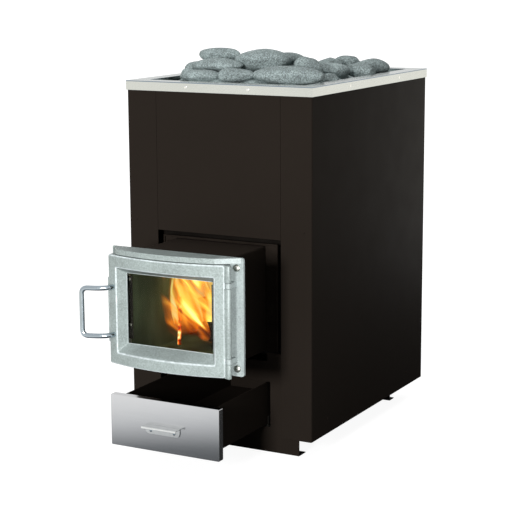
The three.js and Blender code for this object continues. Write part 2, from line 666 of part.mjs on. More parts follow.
// Bevelled window: rulings run from the straight edge of the glass to the bowed face of the door.
function windowBevel() {
  const steps = 14;
  const cutFront = DOOR_EDGE_FACE - 2 * DOOR_BOW;
  const outerHalf = DOOR_HALF - BORDER_SIDE;
  const outerBottom = DOOR_SILL + BORDER_ENDS;
  const outerTop = DOOR_TOP - BORDER_ENDS;
  const inner = [];
  const outer = [];
  const ruling = (t, innerZ, outerZ) => {
    const from = new THREE.Vector3(WINDOW_HALF * t, WINDOW_FACE, innerZ);
    const to = new THREE.Vector3(outerHalf * t, bowFront(outerHalf * t), outerZ);
    const share = (cutFront - from.y) / (to.y - from.y);
    inner.push(from);
    outer.push(from.clone().lerp(to, share));
  };
  for (let k = 0; k <= steps; k += 1) ruling((2 * k) / steps - 1, WINDOW_BOTTOM, outerBottom);
  for (let k = 0; k <= steps; k += 1) ruling(1 - (2 * k) / steps, WINDOW_TOP, outerTop);
  return loft(inner, outer);
}

// Ring for the seal, as an outline and the outline of its hole.
function sealRing(outset, inset) {
  const ring = (d, radius) => rectangle(
    -DOOR_HALF + d, DOOR_SILL + d, DOOR_HALF - d, DOOR_TOP - d, radius);
  return [
    ring(SEAL_INSET - outset, SEAL_RADIUS + SEAL_WIDTH / 2),
    ring(SEAL_INSET + SEAL_WIDTH + inset, SEAL_RADIUS - SEAL_WIDTH / 2),
  ];
}

function handleLevels() {
  const middle = DOOR_SILL + HANDLE_RISE;
  return [middle - HANDLE_SPAN / 2, middle + HANDLE_SPAN / 2];
}

const HANDLE_X = -DOOR_HALF + HANDLE_INSET;
const HANDLE_FOOT = bowFront(HANDLE_X) + HANDLE_SOCKET;

function doorCasting() {
  const plan = [
    ...bowLine(-DOOR_HALF, DOOR_HALF, 0, 20),
    new THREE.Vector2(DOOR_HALF, DOOR_BACK),
    new THREE.Vector2(-DOOR_HALF, DOOR_BACK),
  ];
  const gripMiddle = DOOR_SILL + HANDLE_RISE;
  const body = join(
    prismZ(plan, DOOR_SILL, DOOR_TOP),
    prismZ(circle(HINGE_X, HINGE_Y, BARREL_RADIUS, 20), DOOR_SILL, DOOR_TOP),
    block(DOOR_HALF - 1, HINGE_X, HINGE_Y - BARREL_RADIUS / 2, HINGE_Y + BARREL_RADIUS / 2, DOOR_SILL, DOOR_TOP),
    block(-DOOR_HALF - GRIP_PLATE, -DOOR_HALF + 1, DOOR_EDGE_FACE + 1, DOOR_BACK - 1,
      gripMiddle - GRIP_PLATE_HEIGHT / 2, gripMiddle + GRIP_PLATE_HEIGHT / 2),
  );
  const pocket = GLASS_HALF + GAP;
  const [grooveOuter, grooveInner] = sealRing(GAP, GAP);
  const tools = [
    windowBevel(),
    block(-WINDOW_HALF + WINDOW_STEP, WINDOW_HALF - WINDOW_STEP, WINDOW_FACE - 1, SEAT + 1,
      WINDOW_BOTTOM + WINDOW_STEP, WINDOW_TOP - WINDOW_STEP),
    block(-pocket, pocket, SEAT, DOOR_BACK + 1,
      WINDOW_BOTTOM - GLASS_OVERLAP - GAP, WINDOW_TOP + GLASS_OVERLAP + GAP),
    prismY(grooveOuter, DOOR_BACK - SEAL_DEPTH, DOOR_BACK + 1, [grooveInner]),
  ];
  handleLevels().forEach((z) => {
    const socket = circle(HANDLE_X, z, HANDLE_DIAMETER / 2 + 2 * GAP, 16);
    tools.push(prismY(socket, bowFront(HANDLE_X) - HANDLE_SOCKET, HANDLE_FOOT));
  });
  LUG_RISE.forEach((rise) => {
    const bottom = DOOR_SILL + rise - RUNNING_GAP;
    const top = DOOR_SILL + rise + LUG_HEIGHT + RUNNING_GAP;
    tools.push(prismZ(lugPlan(BARREL_RADIUS + NOTCH_CLEARANCE, DOOR_BACK + 1), bottom, top));
    tools.push(prismZ(
      circle(HINGE_X, HINGE_Y, PIN_RADIUS + PIN_CLEARANCE, 16), top - 1, top + PIN_IN_DOOR + RUNNING_GAP));
  });
  return cut(body, ...tools);
}

function glassPlate(extra, y0, y1, holes = []) {
  const outer = rectangle(
    -WINDOW_HALF - extra, WINDOW_BOTTOM - extra, WINDOW_HALF + extra, WINDOW_TOP + extra, extra / 2);
  return prismY(outer, y0, y1, holes);
}

function glassGasket() {
  const hole = rectangle(-WINDOW_HALF, WINDOW_BOTTOM, WINDOW_HALF, WINDOW_TOP);
  return glassPlate(GLASS_OVERLAP, SEAT + GAP, SEAT + GAP + GASKET_THICKNESS, [hole]);
}

function glassStrip(side) {
  const outer = side * GLASS_HALF;
  const inner = side * (GLASS_HALF - STRIP_WIDTH);
  return block(Math.min(outer, inner), Math.max(outer, inner), GLASS_BACK + GAP,
    GLASS_BACK + GAP + STRIP_THICKNESS, WINDOW_BOTTOM + STRIP_MARGIN, WINDOW_TOP - STRIP_MARGIN);
}

function doorSeal() {
  const [outer, inner] = sealRing(0, 0);
  return prismY(outer, DOOR_BACK - SEAL_DEPTH + GAP, DOOR_BACK + SEAL_PROUD, [inner]);
}

// Path through corner points with each bend eased over the bend length.
function bentPath(points, bend) {
  const path = new THREE.CurvePath();
  let from = points[0];
  for (let i = 1; i < points.length - 1; i += 1) {
    const corner = points[i];
    const before = points[i - 1].clone().sub(corner);
    const after = points[i + 1].clone().sub(corner);
    const enter = corner.clone().addScaledVector(before.clone().normalize(), Math.min(bend, before.length() / 2));
    const leave = corner.clone().addScaledVector(after.clone().normalize(), Math.min(bend, after.length() / 2));
    path.add(new THREE.LineCurve3(from, enter));
    path.add(new THREE.QuadraticBezierCurve3(enter, corner, leave));
    from = leave;
  }
  path.add(new THREE.LineCurve3(from, points[points.length - 1]));
  return path;
}

// Bent round bar: out of the door, away to the side, down and back the same way.
function doorHandle() {
  const [low, high] = handleLevels();
  const face = bowFront(HANDLE_X);
  const leg = (z) => [
    new THREE.Vector3(HANDLE_X, HANDLE_FOOT - GAP, z),
    new THREE.Vector3(HANDLE_X, face - HANDLE_DIAMETER, z),
    new THREE.Vector3(HANDLE_X - HANDLE_SWAY, face - HANDLE_OUT, z),
    new THREE.Vector3(HANDLE_X - HANDLE_SWAY - HANDLE_REACH, face - HANDLE_OUT - HANDLE_FALL, z),
  ];
  const path = bentPath([...leg(high), ...leg(low).reverse()], HANDLE_BEND);
  const section = new THREE.Shape(circle(0, 0, HANDLE_DIAMETER / 2, HANDLE_SIDES));
  return bare(new THREE.ExtrudeGeometry(section, { steps: HANDLE_STEPS, extrudePath: path }));
}

// Firebox and smoke path

function firebox() {
  const half = FIREBOX_WIDTH / 2;
  const wall = FIREBOX_WALL;
  const entry = THROAT_HALF + GAP;
  const grateY = grateMiddle();
  const opening = [GRATE_WIDTH / 2 - GRATE_LEDGE, GRATE_LENGTH / 2 - GRATE_LEDGE];
  const portTop = FIREBOX_TOP - SMOKE_PORT_DROP;
  return cut(
    block(-half, half, FIREBOX_FRONT, FIREBOX_BACK, FIREBOX_BOTTOM, FIREBOX_TOP),
    block(-half + wall, half - wall, FIREBOX_FRONT + wall, FIREBOX_BACK - wall,
      FIREBOX_BOTTOM + wall, FIREBOX_TOP - wall),
    block(-entry, entry, FIREBOX_FRONT - 1, FIREBOX_FRONT + wall + 1, THROAT_BOTTOM - GAP, THROAT_TOP + GAP),
    block(-opening[0], opening[0], grateY - opening[1], grateY + opening[1],
      FIREBOX_BOTTOM - 1, FIREBOX_BOTTOM + wall + 1),
    block(-SMOKE_PORT_WIDTH / 2, SMOKE_PORT_WIDTH / 2, FIREBOX_BACK - wall - 1, FIREBOX_BACK + 1,
      portTop - SMOKE_PORT_HEIGHT, portTop),
  );
}

function grateMiddle() {
  return (FIREBOX_FRONT + FIREBOX_BACK) / 2;
}

// Cast grate over the opening in the firebox floor, with a row of long slots.
function grate() {
  const y = grateMiddle();
  const half = GRATE_WIDTH / 2;
  const slotHalf = GRATE_LENGTH / 2 - 2 * GRATE_LEDGE;
  const pitch = (GRATE_WIDTH - 2 * GRATE_LEDGE) / GRATE_SLOTS;
  const slots = Array.from({ length: GRATE_SLOTS }, (_, k) => {
    const x = (k - (GRATE_SLOTS - 1) / 2) * pitch;
    return rectangle(x - GRATE_SLOT_WIDTH / 2, y - slotHalf, x + GRATE_SLOT_WIDTH / 2, y + slotHalf,
      GRATE_SLOT_WIDTH * 0.49);
  });
  const floor = FIREBOX_BOTTOM + FIREBOX_WALL + GAP;
  const plan = rectangle(-half, y - GRATE_LENGTH / 2, half, y + GRATE_LENGTH / 2, GRATE_LEDGE);
  return prismZ(plan, floor, floor + GRATE_THICKNESS, slots);
}

// Open-topped box under the firebox in which the drawer runs, open at the front.
function ashChamber() {
  const front = PLATE_BACK + GAP;
  const top = FIREBOX_BOTTOM - GAP;
  return cut(
    block(-ASH_HALF - ASH_WALL, ASH_HALF + ASH_WALL, front, FIREBOX_BACK, ASH_FLOOR - ASH_WALL, top),
    block(-ASH_HALF, ASH_HALF, front - 1, FIREBOX_BACK - ASH_WALL, ASH_FLOOR, top + 1),
  );
}

// Angle on the floor of the ash chamber: the drawer slides on its flat top, beside its upright edge.
function drawerRunner(side) {
  const guide = DRAWER_HALF + RUNNING_GAP;
  const inner = guide - RUNNER_INSET - RUNNER_WIDTH;
  const bottom = ASH_FLOOR + GAP;
  const top = bottom + 2 * RUNNER_SHEET;
  const front = PLATE_BACK + GAP + ASH_WALL;
  const corners = [
    [inner, bottom], [guide + RUNNER_SHEET, bottom], [guide + RUNNER_SHEET, top + RUNNER_WIDTH],
    [guide, top + RUNNER_WIDTH], [guide, top], [inner, top],
  ];
  const section = outline(mirrored(corners, side));
  return prismY(section, front, Math.min(front + RUNNER_LENGTH, FIREBOX_BACK - ASH_WALL - GAP));
}

// Duct behind the firebox: open to its port below, with a round outlet to the flue.
function smokeBox() {
  const half = SMOKE_WIDTH / 2;
  const wall = SMOKE_WALL;
  const front = FIREBOX_BACK + GAP;
  const back = front + SMOKE_DEPTH - 2 * GAP;
  const portTop = FIREBOX_TOP - SMOKE_PORT_DROP;
  return cut(
    block(-half, half, front, back, FIREBOX_TOP - SMOKE_BELOW, SMOKE_TOP),
    block(-half + wall, half - wall, front + wall, back - wall, FIREBOX_TOP - SMOKE_BELOW + wall, SMOKE_TOP - wall),
    block(-SMOKE_PORT_WIDTH / 2, SMOKE_PORT_WIDTH / 2, front - 1, front + wall + 1,
      portTop - SMOKE_PORT_HEIGHT, portTop),
    prismY(circle(0, FLUE_HEIGHT, FLUE_RADIUS + GAP, 32), back - wall - 1, back + 1),
  );
}

// Round spigot out of the back, revolved about the flue axis, with a collar over the back panel.
function flueSpigot() {
  const start = FIREBOX_BACK + SMOKE_DEPTH - SMOKE_WALL - GAP;
  const collar = CASING_DEPTH + GAP;
  const bore = FLUE_RADIUS - FLUE_WALL;
  const profile = [
    [bore, start], [FLUE_RADIUS, start], [FLUE_RADIUS, collar], [FLUE_RADIUS + FLUE_COLLAR, collar],
    [FLUE_RADIUS + FLUE_COLLAR, collar + FLUE_COLLAR_THICKNESS],
    [FLUE_RADIUS, collar + FLUE_COLLAR_THICKNESS],
    [FLUE_RADIUS, CASING_DEPTH + FLUE_REACH], [bore, CASING_DEPTH + FLUE_REACH], [bore, start],
  ].map(([r, y]) => new THREE.Vector2(r, y));
  return bare(new THREE.LatheGeometry(profile, 32)).translate(0, 0, FLUE_HEIGHT);
}

// Hopper for the stones: a deep pit over the firebox and a shelf over the smoke box, flanged at the top.
function stoneBoxSide(inset) {
  const bottom = FIREBOX_TOP + GAP + inset;
  const back = CASING_DEPTH - BOX_REAR - inset;
  const top = STOVE_HEIGHT - RIM_SHEET - GAP - SHEET + (inset > 0 ? 2 * SHEET : 0);
  const step = FIREBOX_BACK - inset;
  return outline([
    [BOX_FRONT + inset, bottom], [step, bottom], [step, SHELF - SHEET + inset],
    [back, SHELF - SHEET + inset], [back, top], [BOX_FRONT + inset, top],
  ]);
}

function stoneBox() {
  const flangeTop = STOVE_HEIGHT - RIM_SHEET - GAP;
  const edge = HALF_WIDTH - SHEET - GAP;
  const front = 2 * SHEET + 2 * GAP;
  const back = CASING_DEPTH - 2 * SHEET - 2 * GAP;
  const body = join(
    prismX(stoneBoxSide(0), -BOX_HALF, BOX_HALF),
    block(-edge, edge, front, back, flangeTop - SHEET, flangeTop),
  );
  return cut(body, prismX(stoneBoxSide(SHEET), -BOX_HALF + SHEET, BOX_HALF - SHEET));
}

// Ash drawer

// Shallow tray of bright sheet with its edges folded back.
function drawerFront() {
  const half = PANEL_WIDTH / 2;
  const top = PANEL_LIFT + PANEL_HEIGHT;
  const sheet = PANEL_SHEET;
  return cut(
    prismY(rectangle(-half, PANEL_LIFT, half, top, PANEL_RADIUS), PANEL_FACE, PANEL_FACE + PANEL_DEPTH),
    block(-half + sheet, half - sheet, PANEL_FACE + sheet, PANEL_FACE + PANEL_DEPTH + 1,
      PANEL_LIFT + sheet, top - sheet),
  );
}

function drawerBox() {
  const wall = DRAWER_SHEET;
  const top = DRAWER_RIM - PANEL_SHEET;
  return cut(
    block(-DRAWER_HALF, DRAWER_HALF, DRAWER_FRONT, DRAWER_BACK, DRAWER_FLOOR, top),
    block(-DRAWER_HALF + wall, DRAWER_HALF - wall, DRAWER_FRONT + wall, DRAWER_BACK - wall,
      DRAWER_FLOOR + wall, top + 1),
  );
}

// Bent sheet pull: a back plate with rounded lower corners and a lip with its edge turned down.
function drawerPull() {
  const half = PULL_WIDTH / 2;
  const bottom = PANEL_LIFT + PULL_LIFT;
  const top = bottom + PULL_HEIGHT;
  const back = PANEL_FACE - GAP;
  const plate = outline([
    [-half, bottom, PULL_RADIUS], [half, bottom, PULL_RADIUS], [half, top], [-half, top],
  ]);
  const nose = back - PULL_SHEET - PULL_OUT;
  const lip = outline([
    [back, top - PULL_SHEET], [back, top], [nose, top, PULL_SHEET], [nose, top - PULL_TURN],
    [nose + PULL_SHEET, top - PULL_TURN], [nose + PULL_SHEET, top - PULL_SHEET],
  ]);
  return join(prismY(plate, back - PULL_SHEET, back), prismX(lip, -half, half)).translate(PULL_OFFSET, 0, 0);
}

// Stones

// Rounded pebble: a ball drawn out to three sizes, with low waves so that no two are alike.
function pebble(length, width, thickness, turn, seed, detail) {
  const geometry = bare(new THREE.IcosahedronGeometry(1, detail));
  const position = geometry.attributes.position;
  const point = new THREE.Vector3();
  for (let i = 0; i < position.count; i += 1) {
    point.fromBufferAttribute(position, i);
    const lumps = Math.sin(3 * point.x + seed) + Math.cos(2.5 * point.y - 2 * seed) + Math.sin(3 * point.z + 3 * seed);
    point.multiplyScalar(1 + STONE_LUMPS * lumps);
    position.setXYZ(i, point.x, point.y, point.z);
  }
  return geometry.scale(length / 2, width / 2, thickness / 2).rotateZ(THREE.MathUtils.degToRad(turn));
}

const PIT_MIDDLE = (PIT_FRONT + PIT_BACK) / 2;
const BED_TOP = STOVE_HEIGHT - BED_DROP;

// Lower stones as one lumpy heap that fills the stone box and rises in the middle.
function stoneBed() {
  const clear = SHEET + STONE_CLEARANCE;
  const bottom = FIREBOX_TOP + GAP + SHEET + GAP;
  const back = CASING_DEPTH - BOX_REAR - clear;
  const profile = outline([
    [BOX_FRONT + clear, bottom], [FIREBOX_BACK - clear, bottom], [FIREBOX_BACK - clear, SHELF + GAP],
    [back, SHELF + GAP], [back, BED_TOP], [BOX_FRONT + clear, BED_TOP],
  ]);
  const heap = prismX(profile, -BOX_HALF + clear, BOX_HALF - clear);
  const swell = 1 + 3 * STONE_LUMPS;
  const reach = Math.max(BED_PEBBLE[0], BED_PEBBLE[1]) * swell + STONE_CLEARANCE;
  const depth = Math.min(BED_PEBBLE[2], (BED_TOP - SHELF - STONE_CLEARANCE) / swell);
  const columns = Math.round((2 * (PIT_HALF - reach)) / BED_PITCH);
  const rows = Math.round((PIT_BACK - PIT_FRONT - 2 * reach) / BED_PITCH);
  const lumps = [];
  for (let i = 0; i <= columns; i += 1) {
    for (let j = 0; j <= rows; j += 1) {
      const x = -PIT_HALF + reach + (2 * (PIT_HALF - reach) * i) / columns;
      const y = PIT_FRONT + reach + ((PIT_BACK - PIT_FRONT - 2 * reach) * j) / rows;
      const mound = BED_MOUND * Math.cos((Math.PI * x) / (2 * PIT_HALF)) ** 2;
      const seed = i * 1.7 + j * 2.3;
      const lump = pebble(2 * BED_PEBBLE[0], 2 * BED_PEBBLE[1], 2 * depth, 40 * seed, seed, 1);
      lumps.push(lump.translate(x, y, BED_TOP + mound));
    }
  }
  return join(heap, ...lumps);
}

// Calls visit(key, z) at each point of the settling grid that a triangle covers in plan.
function eachCell(geometry, visit) {
  const position = geometry.attributes.position;
  const index = geometry.index.array;
  const [a, b, c] = [new THREE.Vector3(), new THREE.Vector3(), new THREE.Vector3()];
  for (let t = 0; t < index.length; t += 3) {
    a.fromBufferAttribute(position, index[t]);
    b.fromBufferAttribute(position, index[t + 1]);
    c.fromBufferAttribute(position, index[t + 2]);
    const area = (b.x - a.x) * (c.y - a.y) - (b.y - a.y) * (c.x - a.x);
    if (Math.abs(area) < 1e-9) continue;
    const columnEnd = Math.floor(Math.max(a.x, b.x, c.x) / CELL);
    const rowEnd = Math.floor(Math.max(a.y, b.y, c.y) / CELL);
    for (let i = Math.ceil(Math.min(a.x, b.x, c.x) / CELL); i <= columnEnd; i += 1) {
      for (let j = Math.ceil(Math.min(a.y, b.y, c.y) / CELL); j <= rowEnd; j += 1) {
        const x = i * CELL;
        const y = j * CELL;
        const u = ((b.x - x) * (c.y - y) - (b.y - y) * (c.x - x)) / area;
        const v = ((c.x - x) * (a.y - y) - (c.y - y) * (a.x - x)) / area;
        if (u >= 0 && v >= 0 && u + v <= 1) visit(`${i},${j}`, u * a.z + v * b.z + (1 - u - v) * c.z);
      }
    }
  }
}

// Loose stones, each lowered until it meets the bed or an earlier stone.
function settledStones(bed) {
  const heights = new Map();
  const raise = (key, z) => heights.set(key, Math.max(z, heights.get(key) ?? -Infinity));
  eachCell(bed, raise);
  return STONES.map(([x, y, length, width, thickness, turn], k) => {
    const seed = k * 1.3;
    const stone = pebble(length, width, thickness, turn, seed, STONE_DETAIL);
    const room = pebble(
      length + 2 * STONE_SPACE, width + 2 * STONE_SPACE, thickness + 2 * STONE_GAP, turn, seed, STONE_DETAIL);
    room.computeBoundingBox();
    const { min, max } = room.boundingBox;
    const wallY = (PIT_BACK - PIT_FRONT) / 2;
    const placeX = THREE.MathUtils.clamp(x, -PIT_HALF - min.x, PIT_HALF - max.x);
    const placeY = PIT_MIDDLE + THREE.MathUtils.clamp(y, -wallY - min.y, wallY - max.y);
    let level = -Infinity;
    eachCell(room.translate(placeX, placeY, 0), (key, z) => {
      level = Math.max(level, (heights.get(key) ?? -Infinity) - z);
    });
    stone.translate(placeX, placeY, level);
    eachCell(stone, raise);
    return stone;
  });
}

// Assembly

const stove = new THREE.Group();
const body = new THREE.Group();
const door = new THREE.Group();
const drawer = new THREE.Group();
stove.add(body, door, drawer);

function add(group, name, finish, geometry) {
  const mesh = new THREE.Mesh(geometry, new THREE.MeshStandardMaterial(FINISHES[finish]));
  mesh.name = name;
  group.add(mesh);
}

add(body, 'left_side_panel', 'paint', sidePanel(-1));
add(body, 'right_side_panel', 'paint', sidePanel(1));
add(body, 'upper_front_plate', 'paint', upperFrontPlate());
add(body, 'lower_front_plate', 'paint', lowerFrontPlate());
add(body, 'back_panel', 'paint', backPanel());
add(body, 'rear_foot_plate', 'paint', rearFootPlate());
add(body, 'rim_front', 'bright_sheet', rimStrip(RIM_FRONT, RIM_WRAP, 0));
add(body, 'rim_rear', 'bright_sheet', rimStrip(CASING_DEPTH - RIM_WRAP, RIM_BACK, 0));
add(body, 'rim_left', 'bright_sheet', rimStrip(RIM_WRAP + GAP, CASING_DEPTH - RIM_WRAP - GAP, -1));
add(body, 'rim_right', 'bright_sheet', rimStrip(RIM_WRAP + GAP, CASING_DEPTH - RIM_WRAP - GAP, 1));

add(body, 'throat_collar', 'paint', throatCollar());
add(body, 'fire_throat', 'paint', fireThroat());
add(body, 'firebox', 'black_steel', firebox());
add(body, 'grate', 'cast_iron', grate());
add(body, 'ash_chamber', 'black_steel', ashChamber());
add(body, 'runner_left', 'black_steel', drawerRunner(-1));
add(body, 'runner_right', 'black_steel', drawerRunner(1));
add(body, 'smoke_box', 'black_steel', smokeBox());
add(body, 'flue_spigot', 'black_steel', flueSpigot());
add(body, 'stone_box', 'black_steel', stoneBox());

add(body, 'door_frame', 'cast_door', doorFrame());
['top', 'bottom'].forEach((end, i) => {
  add(body, `frame_screw_${end}`, 'screw', frameScrew(screwPlaces()[i]));
});
['bottom', 'top'].forEach((end, i) => {
  add(body, `hinge_pin_${end}`, 'bar_steel', hingePin(LUG_RISE[i]));
});

add(door, 'door_casting', 'cast_door', doorCasting());
add(door, 'door_glass', 'glass', glassPlate(GLASS_OVERLAP, GLASS_FRONT, GLASS_BACK));
add(door, 'glass_gasket', 'rope', glassGasket());
add(door, 'glass_strip_left', 'black_steel', glassStrip(-1));
add(door, 'glass_strip_right', 'black_steel', glassStrip(1));
add(door, 'door_seal', 'rope', doorSeal());
add(door, 'door_handle', 'bar_steel', doorHandle());

add(drawer, 'drawer_box', 'paint', drawerBox());
add(drawer, 'drawer_front', 'bright_sheet', drawerFront());
add(drawer, 'drawer_pull', 'bright_sheet', drawerPull());

const bed = stoneBed();
add(body, 'stone_bed', 'stone', bed);
settledStones(bed).forEach((stone, k) => {
  add(body, `stone_${String(k + 1).padStart(2, '0')}`, 'stone', stone);
});

// The origin is on the floor, in the middle of the stove's own box.
const box = new THREE.Box3().setFromObject(stove);
const middle = box.getCenter(new THREE.Vector3());
stove.position.set(-middle.x, -middle.y, -box.min.z);

export default stove;
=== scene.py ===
"""Dresses a free-standing wood-burning sauna stove: finishes, cast door, stones, fire and fasteners."""

import json
import math

import bmesh
import bpy
import numpy as np
from bpy.props import FloatProperty, FloatVectorProperty, IntProperty, PointerProperty
from mathutils import Matrix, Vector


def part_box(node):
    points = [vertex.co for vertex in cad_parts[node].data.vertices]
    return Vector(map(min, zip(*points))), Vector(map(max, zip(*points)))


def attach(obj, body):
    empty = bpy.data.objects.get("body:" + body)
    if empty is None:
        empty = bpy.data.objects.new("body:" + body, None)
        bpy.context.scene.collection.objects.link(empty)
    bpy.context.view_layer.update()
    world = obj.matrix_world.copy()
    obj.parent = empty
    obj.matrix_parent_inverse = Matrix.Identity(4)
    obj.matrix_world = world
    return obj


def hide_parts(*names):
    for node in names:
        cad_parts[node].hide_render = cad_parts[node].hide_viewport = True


bl_info = {
    "name": "Sauna stove dressing",
    "version": (1, 0, 0),
    "blender": (4, 5, 0),
    "location": "View3D > Sidebar > Stove",
    "description": "Gives the stove's fixed frame its finishes, stones, fire and fasteners",
    "category": "Object",
}

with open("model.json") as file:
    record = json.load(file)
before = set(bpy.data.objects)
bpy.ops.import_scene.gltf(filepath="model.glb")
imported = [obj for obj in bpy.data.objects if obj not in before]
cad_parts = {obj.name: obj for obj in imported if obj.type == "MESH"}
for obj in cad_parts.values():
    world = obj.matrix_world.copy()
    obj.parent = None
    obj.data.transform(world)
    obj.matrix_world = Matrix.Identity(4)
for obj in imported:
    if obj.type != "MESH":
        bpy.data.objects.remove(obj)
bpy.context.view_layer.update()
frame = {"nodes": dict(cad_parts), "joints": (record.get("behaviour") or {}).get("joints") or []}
NODES = frame["nodes"]
JOINTS = {joint["name"]: joint for joint in frame["joints"]}
ROOT = "stove"
DOOR = "door"
DRAWER = "ash_drawer"


def span(node):
    """Lowest and highest corner of a node as arrays."""
    low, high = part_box(node)
    return np.array(low), np.array(high)


# Places taken from the frame, in metres
CASING_LOW, CASING_HIGH = span("left_side_panel")
CASING_FACE = CASING_LOW[1]
CASING_BACK = CASING_HIGH[1]
CASING_HALF = -CASING_LOW[0]
RIM_LOW, RIM_HIGH = span("rim_front")
RIM_SIDE = RIM_HIGH[0]
RIM_FACE = RIM_LOW[1]
RIM_BACK = span("rim_rear")[1][1]
GLASS_LOW, GLASS_HIGH = span("door_glass")
DOOR_LOW, DOOR_HIGH = span("door_casting")
SEAL_LOW = span("door_seal")[0]
HANDLE_LOW, HANDLE_HIGH = span("door_handle")
PULL_LOW, PULL_HIGH = span("drawer_pull")
PANEL_LOW = span("drawer_front")[0]
BED_LOW, BED_HIGH = span("stone_bed")
THROAT_LOW = span("fire_throat")[0]
FIREBOX_LOW, FIREBOX_HIGH = span("firebox")
GRATE_HIGH = span("grate")[1]
HINGE = np.array(JOINTS["door_hinge"]["pos_m"])
STONES = sorted(name for name in NODES if name.startswith("stone_") and name[6:].isdigit())
PIN_IN_DOOR = 0.014
LUGS = [span(f"hinge_pin_{end}")[1][2] - PIN_IN_DOOR for end in ("bottom", "top")]
RIM_CLEARANCE = 0.0005
PIT_LOW = np.array([span("rim_left")[1][0], RIM_HIGH[1]]) + RIM_CLEARANCE
PIT_HIGH = np.array([span("rim_right")[0][0], span("rim_rear")[0][1]]) - RIM_CLEARANCE

# Walls of the fire's room and the limits of the throat's inner faces, in metres
THROAT_HALF = 0.099
FIREBOX_WALL = 0.008
LINING_HALF = 0.1012
LINING_LOW = 0.2188
LINING_HIGH = 0.4302
LINING_START = 0.002

# How far the stones are drawn out over their nodes along x, y and z
STONE_SPREAD = np.array([1.12, 1.12, 0.965])

# Fasteners, in metres
HEAD_SINK = 0.0003
FLUSH_HEAD = 0.00002
LOW_SCREW_HEIGHT = 0.068
FRONT_SCREW_INSET = 0.075
REAR_SCREW_INSET = 0.093
HIGH_SCREW_HEIGHT = 0.47
HIGH_SCREW_INSET = 0.018
RIM_FRONT_SHARES = (-1 / 3, 1 / 3)
RIM_SIDE_SHARES = (0.30, 0.73)
CLIP_SHARES = (0.05, 0.78)
PULL_RIVET_SPREAD = 0.027
PULL_RIVET_HEIGHT = 0.0075
PULL_PLATE = 0.0023

# Door and handle, in metres
LUG_HEIGHT = 0.010
LUG_GAP = 0.0005
BAR_GAP = 0.0015
GLASS_TO_SEAT = 0.0021
WINDOW_LIP = 0.002
HANDLE_PLATE_HALF = 0.066
HANDLE_KNEE = 0.035
HANDLE_FOOT = 0.010
HANDLE_REACH = 0.025
HANDLE_BEND = 0.013

# Camera fitted to the picture: place in metres, angles in degrees, lengths in pixels
CAMERA_PLACE = np.array([1.5658, -2.9027, 1.0056])
CAMERA_TURN = (28.467, 11.011, -0.297)
CAMERA_FOCUS = 1546.7
PICTURE_WIDTH = 520
SENSOR_WIDTH = 36.0

# Stage, in metres and degrees
STAGE_MIDDLE = np.array([0, 0, 0.42])
FLOOR_REACH = 90.0
KEY_BEARING = 5
KEY_RISE = 10
KEY_DISTANCE = 4.0


class StoveSizes(bpy.types.PropertyGroup):
    """Sizes of the dressed pieces, in metres."""

    door_bow: FloatProperty(
        name="Door bow", description="How far the door's front stands out in the middle",
        default=0.022, unit="LENGTH")
    border_side: FloatProperty(
        name="Side border", description="Flat border left and right of the door's bevel",
        default=0.022, unit="LENGTH")
    border_ends: FloatProperty(
        name="End border", description="Flat border above and below the door's bevel",
        default=0.024, unit="LENGTH")
    glass_overlap: FloatProperty(
        name="Glass overlap", description="How far the glass runs behind the window's edge",
        default=0.006, unit="LENGTH")
    barrel_radius: FloatProperty(
        name="Hinge bar radius", description="Radius of the hinge bar on the door",
        default=0.0055, unit="LENGTH")
    bar_diameter: FloatProperty(
        name="Handle bar", description="Diameter of the bent handle bar",
        default=0.010, unit="LENGTH")
    edge_softness: FloatProperty(
        name="Sheet edge", description="Width of the softened edges of folded sheet",
        default=0.0007, unit="LENGTH")
    rivet_radius: FloatProperty(
        name="Rivet radius", description="Radius of the rivets in the rim",
        default=0.0032, unit="LENGTH")


class StoveFinishes(bpy.types.PropertyGroup):
    """Colours of the finishes."""

    paint: FloatVectorProperty(
        name="Casing paint", description="Satin paint of the casing",
        default=(0.0190, 0.0148, 0.0119), subtype="COLOR", min=0, max=1)
    bright: FloatVectorProperty(
        name="Bright sheet", description="Stainless sheet of the rim and the drawer",
        default=(0.70, 0.735, 0.725), subtype="COLOR", min=0, max=1)
    casting: FloatVectorProperty(
        name="Cast door", description="Silver paint on the cast door and its frame",
        default=(0.204, 0.238, 0.231), subtype="COLOR", min=0, max=1)
    bar: FloatVectorProperty(
        name="Handle bar", description="Polished bar of the handle",
        default=(0.44, 0.51, 0.56), subtype="COLOR", min=0, max=1)
    stone: FloatVectorProperty(
        name="Stones", description="Middle colour of the stones",
        default=(0.262, 0.312, 0.310), subtype="COLOR", min=0, max=1)
    seed: IntProperty(
        name="Seed", description="Start of the random draws for stones and wood", default=7, min=0)


# Meshes from arrays


def grid_faces(rows, columns, wrap_rows=False, wrap_columns=False):
    """Quads that join each point of a rows by columns grid to the next row and the next column."""
    row = np.arange(rows if wrap_rows else rows - 1)
    column = np.arange(columns if wrap_columns else columns - 1)
    a, b = np.meshgrid(row, column, indexing="ij")
    a_next, b_next = (a + 1) % rows, (b + 1) % columns
    corners = [a * columns + b, a * columns + b_next, a_next * columns + b_next, a_next * columns + b]
    return np.stack(corners, axis=-1).reshape(-1, 4)


def surface(points, wrap_rows=False, wrap_columns=False):
    """A grid of points, shaped rows by columns by 3, as a flat point array and its quads."""
    rows, columns = points.shape[:2]
    return points.reshape(-1, 3), grid_faces(rows, columns, wrap_rows, wrap_columns)


def together(*shells):
    """Several point and face arrays as one pair, each shell keeping its own points."""
    starts = np.cumsum([0] + [len(points) for points, _ in shells[:-1]])
    points = np.concatenate([points for points, _ in shells])
    faces = [face + start for (_, shell), start in zip(shells, starts) for face in shell]
    return points, faces


